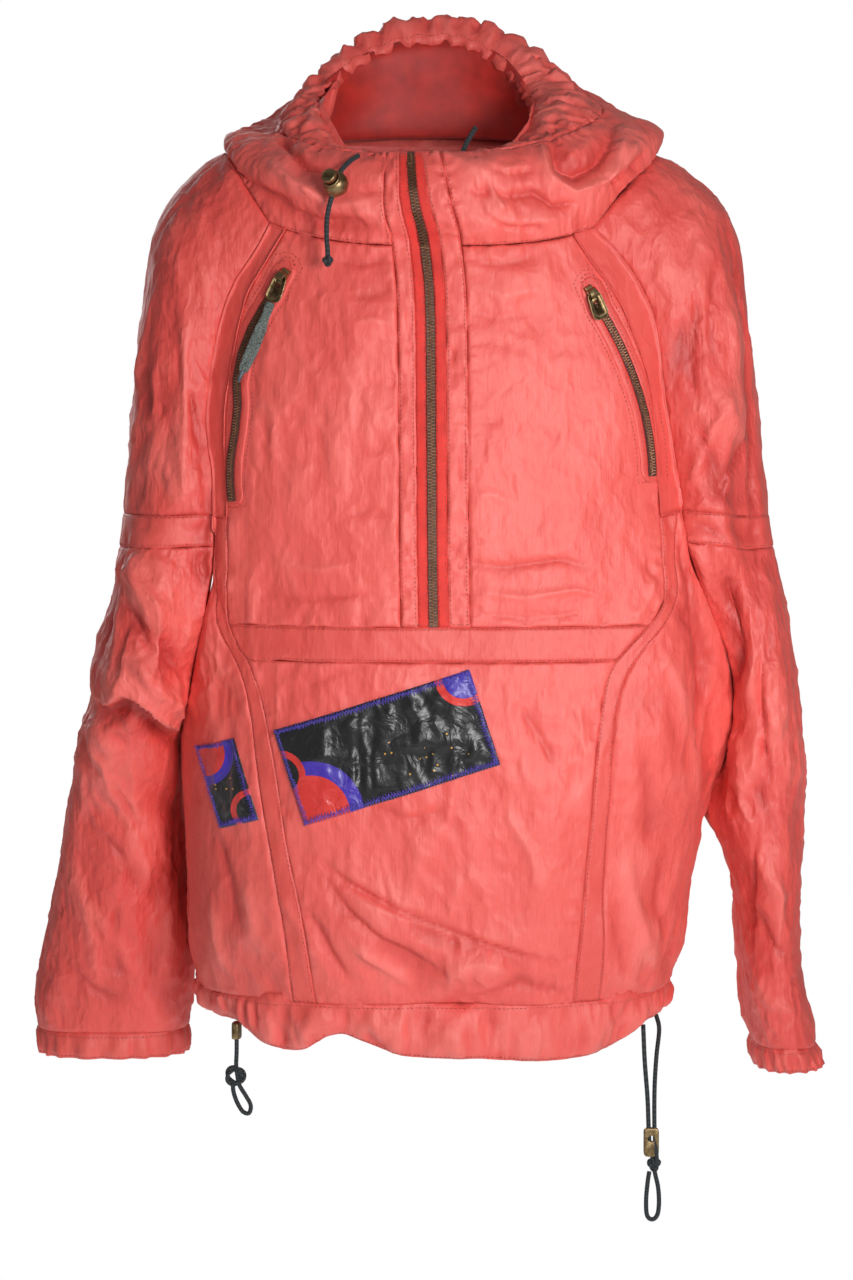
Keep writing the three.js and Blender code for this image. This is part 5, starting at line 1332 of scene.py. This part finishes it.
# name, route, diameter, its real shown length, far end, what is on it, the solids it stands for
cordRows = [
    ("collar_drawcord", collarRoute, 3.8, 94, "knot", [lockBall, lockButton, collarKnot, *eyelets],
     ["collar_cord_upper", "collar_cord_lower"]),
    ("collar_drawcord_end", [(13.2, -89.8, 9.2), (17, -87, 18), (22, -84, 30), (29, -82, 42)], 3.8, 37, "bare", [],
     ["collar_cord_other_end"]),
    ("hem_drawcord_right",
     [(-158, -78.5, -666.5), (-158.2, -77, -679), (-158.6, -76, -690), (-157.4, -76, -700), (-155.8, -76, -706),
      (-151.6, -76, -713), (-147.4, -76, -721), (-148.6, -76, -727.4), (-153.4, -76, -726.4), (-158, -76, -719),
      (-160.8, -76, -710.6), (-161.4, -76, -703)],
     3.5, 93, "knot", [rightLock, rightKnot], ["hem_cord_right", "hem_loop_right"]),
    ("hem_drawcord_left",
     [(162, -62.7, -659.5), (163.2, -65.4, -688), (165.6, -65, -718), (166.6, -64, -741.2), (167.6, -63.6, -756),
      (170.4, -64, -768), (171.8, -64, -778), (174.4, -64, -790), (175.1, -64, -803), (173.7, -64, -812),
      (169.8, -64, -815.4), (165.7, -64, -812), (164.9, -64, -800), (166, -64, -786), (167.3, -64, -777)],
     3.6, 199, "knot", [leftLock, leftKnot], ["hem_cord_left_front", "hem_loop_left"]),
    ("hem_drawcord_left_side",
     [(173.6, -40.2, -655.9), (175.6, -48, -666), (172.8, -60, -685), (171.2, -63.6, -710), (171.2, -64.4, -741.2),
      (172.2, -65.4, -756), (173.2, -66.4, -768)],
     3.6, 119, "knot", [], ["hem_cord_left_side"]),
]
for name, route, diameter, length, farEnd, carried, solids in cordRows:
    path = smoothPath(route, 6)
    piece = addPiece(name, tubeAlong(name, path, diameter, 12), "cord", replaced=solids)

# The strap on the right pocket's pull: knitted, narrow where it turns round the wire, with a hard tip.
strapSettings = {"widths": ((0, 6.2), (5, 7.4), (9, 6.4), (13, 6.6), (22, 9.2), (36, 9.6), (50, 9.0), (56, 7.4), (58.5, 3.4)),
                 "flat": 0.26, "tip": (3.3, 9.5)}
strapPoints = pointsOf(frame["nodes"]["pocket_pull_cord"].data) / mm
strapMiddle = (strapPoints.min(0) + strapPoints.max(0)) / 2
ways = np.linalg.svd(strapPoints - strapPoints.mean(0), full_matrices=False)[2]
strapWay = ways[0] * -np.sign(ways[0][2])
strapTop = strapMiddle - strapWay * 29
steps = np.linspace(0, 58.5, 28)
widths = np.interp(steps, *zip(*strapSettings["widths"]))
strapPath = strapTop + strapWay * steps[:, None]
strapPath[:, 0] += 0.9 * np.sin(steps / 58.5 * 2.6)
strap = addPiece(
    "pocket_pull_strap", tubeAlong("pocket_pull_strap", strapPath, widths, 20, flat=strapSettings["flat"]),
    "strap", "pull_right", ["pocket_pull_cord"],
)
tipPath = strapPath[-2] + strapWay * np.linspace(0, strapSettings["tip"][1], 6)[:, None]
tip = addPiece(
    "pocket_pull_tip", tubeAlong("pocket_pull_tip", tipPath, (3.6, 3.5, 3.3, 3.2, 3.1, 2.7), 12), "aglet",
    "pull_right",
)
print("cords, locks and knots made")

# A plain pale floor in a white studio, whose own light is soft and low.
stageSettings = {"floor": -1450, "radius": 2100, "glow": 0.55, "ambient": 0.17}
paleMaterial, paleTree, paleShader, palePlace = newMaterial(
    "matt_white_card",
    {"Base Color": linearColour("#ffffff"), "Roughness": 0.95,
     "Emission Color": (1, 1, 1, 1), "Emission Strength": stageSettings["glow"]},
)
bm = bmesh.new()
bmesh.ops.create_circle(bm, cap_ends=True, segments=64, radius=stageSettings["radius"] * mm)
bmesh.ops.translate(bm, verts=bm.verts, vec=(0, 0, stageSettings["floor"] * mm))
floorMesh = bpy.data.meshes.new("floor")
bm.to_mesh(floorMesh)
bm.free()
floorMesh.materials.append(paleMaterial)
addObject("floor", floorMesh)

world = bpy.data.worlds.new("studio")
world.use_nodes = True
tree = world.node_tree
sky = tree.nodes["Background"]
ray = addNode(tree, "ShaderNodeLightPath")
strength = addNode(
    tree, "ShaderNodeMapRange", {"To Min": stageSettings["ambient"], "To Max": 1.0}, {"Value": (ray, "Is Camera Ray")}
)
sky.inputs["Color"].default_value = (1, 1, 1, 1)
tree.links.new(strength.outputs["Result"], sky.inputs["Strength"])
bpy.context.scene.world = world
bpy.context.scene.view_settings.view_transform = "Standard"

# name, place, size, power in watts and spread in degrees; each looks at the chest
lightRows = [
    ("key", (720, -1800, -80), 0.6, 5.9, 80),
    ("fill", (-350, -2900, 200), 1.6, 7, 180),
    ("top", (100, -1300, 1900), 0.8, 1, 180),
    ("back", (-900, 2500, 500), 1.6, 30, 180),
]
for name, place, size, power, spread in lightRows:
    lamp = bpy.data.lights.new(name, "AREA")
    lamp.size = size
    lamp.energy = power
    lamp.spread = math.radians(spread)
    light = bpy.data.objects.new(name, lamp)
    bpy.context.scene.collection.objects.link(light)
    light.location = Vector(place) * mm
    light.rotation_euler = (Vector((0, 0, -0.3)) - light.location).to_track_quat("-Z", "Y").to_euler()
print("stage and lamps set")
